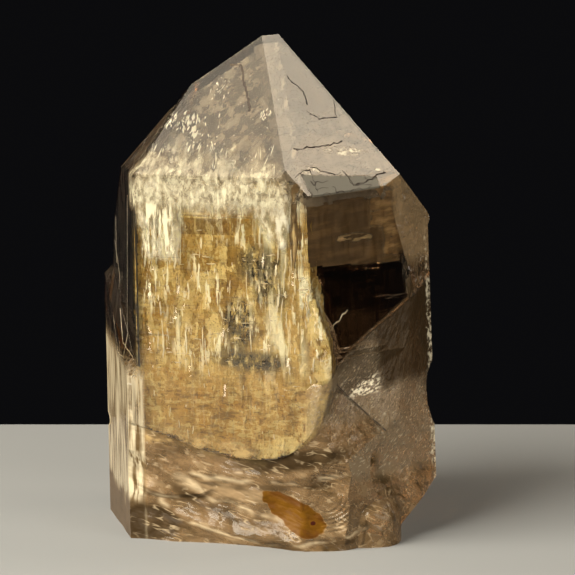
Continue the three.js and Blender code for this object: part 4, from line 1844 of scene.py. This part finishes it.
@dataclass
class SideInclusions:
    """What shows through the front right and narrow left faces, and behind the base; on the front
    right, brown and tan sheets paint a reflection and a dark strip paints shade.
    """

    brown: list[Point] = field(
        default_factory=lambda: [(-8.0, 52.8), (-8.0, 40.6), (12.4, 39.2), (12.8, 52.8)]
    )
    tan: list[Point] = field(
        default_factory=lambda: [
            (5.2, 53.5), (5.2, 44.5), (7.8, 44.3), (7.8, 39.8), (12.4, 39.2), (20.0, 38.0),
            (20.0, 53.5),
        ]
    )
    dark: list[Point] = field(
        default_factory=lambda: [
            (-22.0, 27.5), (-22.0, 56.0), (12.0, 56.0), (12.0, 25.0), (-5.0, 25.5),
        ]
    )
    shade_strip: list[Point] = field(
        default_factory=lambda: [
            (10.6, 42.0), (12.6, 34.0), (15.0, 27.0), (15.5, 20.0), (22.0, 20.0), (22.0, 42.0),
        ]
    )
    glint: list[Point] = field(
        default_factory=lambda: [
            (-0.8, 43.3), (2.6, 43.0), (6.8, 42.8), (6.9, 44.6), (2.4, 45.1), (-0.9, 44.8),
        ]
    )
    warm: list[Point] = field(
        default_factory=lambda: [
            (-22.0, 0.0), (14.0, 0.0), (16.0, 14.0), (8.0, 13.0), (0.0, 12.6), (-22.0, 17.5),
        ]
    )
    streak: list[list[Point]] = field(
        default_factory=lambda: [[(1.15, 33.9), (-0.2, 32.9), (-2.5, 31.3)]]
    )
    lines: list[list[Point]] = field(
        default_factory=lambda: [
            [(-13.5, 41.2), (-9.5, 36.6), (-10.8, 34.2)],
            [(-9.4, 31.1), (-5.5, 25.9), (2.0, 26.0)],
            [(-12.0, 45.0), (-12.3, 38.0)],
            [(-0.4, 49.7), (-2.2, 38.0), (-2.8, 34.0), (-4.0, 26.0), (-5.1, 18.9), (-6.4, 9.0)],
        ]
    )

    def build(self) -> list[bpy.types.Object]:
        """Builds the inclusions.

        Returns:
            Their pieces.
        """
        front, side, left = Face.FRONT, Face.FRONT_RIGHT, Face.NARROW_LEFT
        bright = FlakeFinish("bright_line", (1.0, 0.90, 0.68)).make()
        # A brown sheet that paints the brownish reflection in the band on the front right face.
        brown = HazeFinish(
            "painted_brown_reflection", side, (0.15, 0.088, 0.030), (0.24, 0.14, 0.052), 0.94,
            3.0, 8.0, 1.6, 0.3, 0.85,
        )
        # A tan sheet that paints the lighter part of that reflection.
        tan = HazeFinish(
            "painted_tan_reflection", side, (0.32, 0.185, 0.066), (0.56, 0.35, 0.14), 0.92,
            3.0, 5.0, 1.2, 1.6, 0.65,
        )
        dark = HazeFinish(
            "left_haze", left, (0.008, 0.005, 0.003), (0.032, 0.021, 0.011), 0.97,
            88.0, 6.0, 1.0, 0.5, 0.8,
        )
        # A dark sheet that paints shade on the right part of the front right face.
        shade_strip = HazeFinish(
            "painted_shade_strip", side, (0.06, 0.042, 0.024), (0.20, 0.15, 0.09), 0.85,
            78.0, 4.0, 0.9, 1.2, 0.35,
        )
        warm = HazeFinish(
            "warm_base", front, (0.28, 0.17, 0.075), (0.70, 0.50, 0.26), 0.85,
            -16.0, 3.0, 1.8, 1.5, 0.5,
        )
        glint = ShardFinish("band_glint", side, (1.0, 0.72, 0.38), 0.4, 0.75)
        return [
            veil_of(brown, self.brown, 1.4, rounds=0),
            veil_of(tan, self.tan, 0.8, rounds=0),
            veil_of(dark, self.dark, 0.45, wave=0.1, skin=0.15, rounds=0),
            veil_of(shade_strip, self.shade_strip, 0.6, rounds=0),
            veil_of(glint, self.glint, 1.0, cell=0.25, wave=0.15),
            veil_of(warm, self.warm, 3.6, skin=0.7),
            Seams("slanting_streak", side, self.streak, 0.5, 0.3, bright, 9).build(),
            Seams("left_lines", left, self.lines, 0.15, 0.35, bright, crook=0.05).build(),
        ]


# ---------------------------------------------------------------- the set


@dataclass(frozen=True)
class Softbox:
    """A square soft light that faces the crystal."""

    name: str
    azimuth: float  # degrees, 0 in front and 90 to the right
    elevation: float
    distance: float
    size: Point
    radiance: float
    colour: Colour = (1.0, 1.0, 1.0)
    aim: float = 0.035  # height of the point that it faces

    def build(self) -> bpy.types.Object:
        """Builds the light.

        Returns:
            The light.
        """
        turned, raised = math.radians(self.azimuth), math.radians(self.elevation)
        level = math.cos(raised)
        away = Vector((math.sin(turned) * level, -math.cos(turned) * level, math.sin(raised)))
        lamp = bpy.data.lights.new(self.name, "AREA")
        lamp.shape = "RECTANGLE"
        lamp.size, lamp.size_y = self.size
        lamp.energy = self.radiance * math.pi * self.size[0] * self.size[1]
        lamp.color = self.colour
        light = bpy.data.objects.new(self.name, lamp)
        light.location = Vector((0.0, 0.0, self.aim)) + away * self.distance
        light.rotation_mode = "QUATERNION"
        light.rotation_quaternion = away.to_track_quat("Z", "Y")
        light.visible_camera = False
        bpy.context.scene.collection.objects.link(light)
        return light


@dataclass
class Studio:
    """The pale floor, the soft lights, the dim surroundings and the camera."""

    floor: tuple[float, float, float] = (0.24, 0.24, 0.012)  # wide, deep and thick
    floor_back: float = 0.072
    floor_edge: float = 0.0015  # how far its edges are rounded
    surround: Colour = (0.0035, 0.0035, 0.004)
    target: tuple[float, float, float] = (0.00268, -0.00431, 0.0353)
    elevation: float = 9.5
    distance: float = 0.6
    lens: float = 259.4
    boxes: tuple[Softbox, ...] = (
        Softbox("key", -52.0, 28.0, 0.45, (0.42, 0.42), 13.0, (1.0, 0.94, 0.80)),
        Softbox("fill", 48.0, 22.0, 0.55, (0.34, 0.34), 3.6, (1.0, 0.93, 0.80)),
        Softbox("over_point", -68.0, 62.0, 0.40, (0.18, 0.18), 3.4, (1.0, 0.86, 0.66)),
        Softbox("over_right", 103.5, 44.5, 0.40, (0.14, 0.14), 6.0, (1.0, 0.86, 0.66)),
        Softbox("rim", 140.0, 18.0, 0.45, (0.12, 0.30), 1.0, (1.0, 0.96, 0.88)),
        Softbox("back_left", -137.0, 20.0, 0.5, (0.22, 0.22), 0.2, (1.0, 0.92, 0.80)),
    )

    def build(self) -> list[bpy.types.Object]:
        """Builds the set.

        Returns:
            Its floor, lights and camera.
        """
        return [self._floor(), *(box.build() for box in self.boxes), self._camera()]

    def _floor(self) -> bpy.types.Object:
        """Builds the floor and the dim surroundings.

        Returns:
            The floor.
        """
        wide, deep, thick = self.floor
        form = bmesh.new()
        middle = Matrix.Translation((0.0, self.floor_back - deep / 2, -thick / 2))
        size = Matrix.Diagonal((wide, deep, thick, 1.0))
        bmesh.ops.create_cube(form, size=1.0, matrix=middle @ size)
        bmesh.ops.bevel(
            form, geom=form.edges, offset=self.floor_edge, offset_type="OFFSET", affect="EDGES",
            segments=3, profile=0.5, material=-1,
        )
        mesh = bpy.data.meshes.new("floor")
        form.to_mesh(mesh)
        form.free()
        floor = bpy.data.objects.new("floor", mesh)
        bpy.context.scene.collection.objects.link(floor)
        floor.data.materials.append(FloorFinish().make())
        world = bpy.data.worlds.new("surround")
        world.use_nodes = True
        world.node_tree.nodes["Background"].inputs["Color"].default_value = (*self.surround, 1.0)
        bpy.context.scene.world = world
        return floor

    def _camera(self) -> bpy.types.Object:
        """Builds the camera.

        Returns:
            The camera.
        """
        raised = math.radians(self.elevation)
        back = Vector((0.0, -math.cos(raised), math.sin(raised)))
        lens = bpy.data.cameras.new("camera")
        lens.lens, lens.sensor_width = self.lens, 36.0
        lens.clip_start = 0.01
        camera = bpy.data.objects.new("camera", lens)
        camera.location = Vector(self.target) + back * self.distance
        camera.rotation_mode = "QUATERNION"
        camera.rotation_quaternion = back.to_track_quat("Z", "Y")
        bpy.context.scene.collection.objects.link(camera)
        bpy.context.scene.camera = camera
        return camera


def main() -> None:
    """Builds every piece in order and reports it."""
    logging.basicConfig(level=logging.INFO, format="%(message)s")
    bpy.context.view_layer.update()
    view = bpy.context.scene.view_settings
    view.view_transform = "Standard"
    bpy.context.scene.cycles.max_bounces = 9
    bpy.context.scene.cycles.transmission_bounces = 9
    bpy.context.scene.cycles.diffuse_bounces = 2
    bpy.context.scene.cycles.transparent_max_bounces = 12
    pieces: list[bpy.types.Object] = [QuartzPoint().build()]
    for part in (GoldenHeart(), PointInclusions(), SideInclusions()):
        pieces += part.build()
    for piece in pieces:
        LOG.info("%s: %d faces", piece.name, len(piece.data.polygons))
    for thing in Studio().build():
        LOG.info("%s", thing.name)


if __name__ == "__main__":
    main()
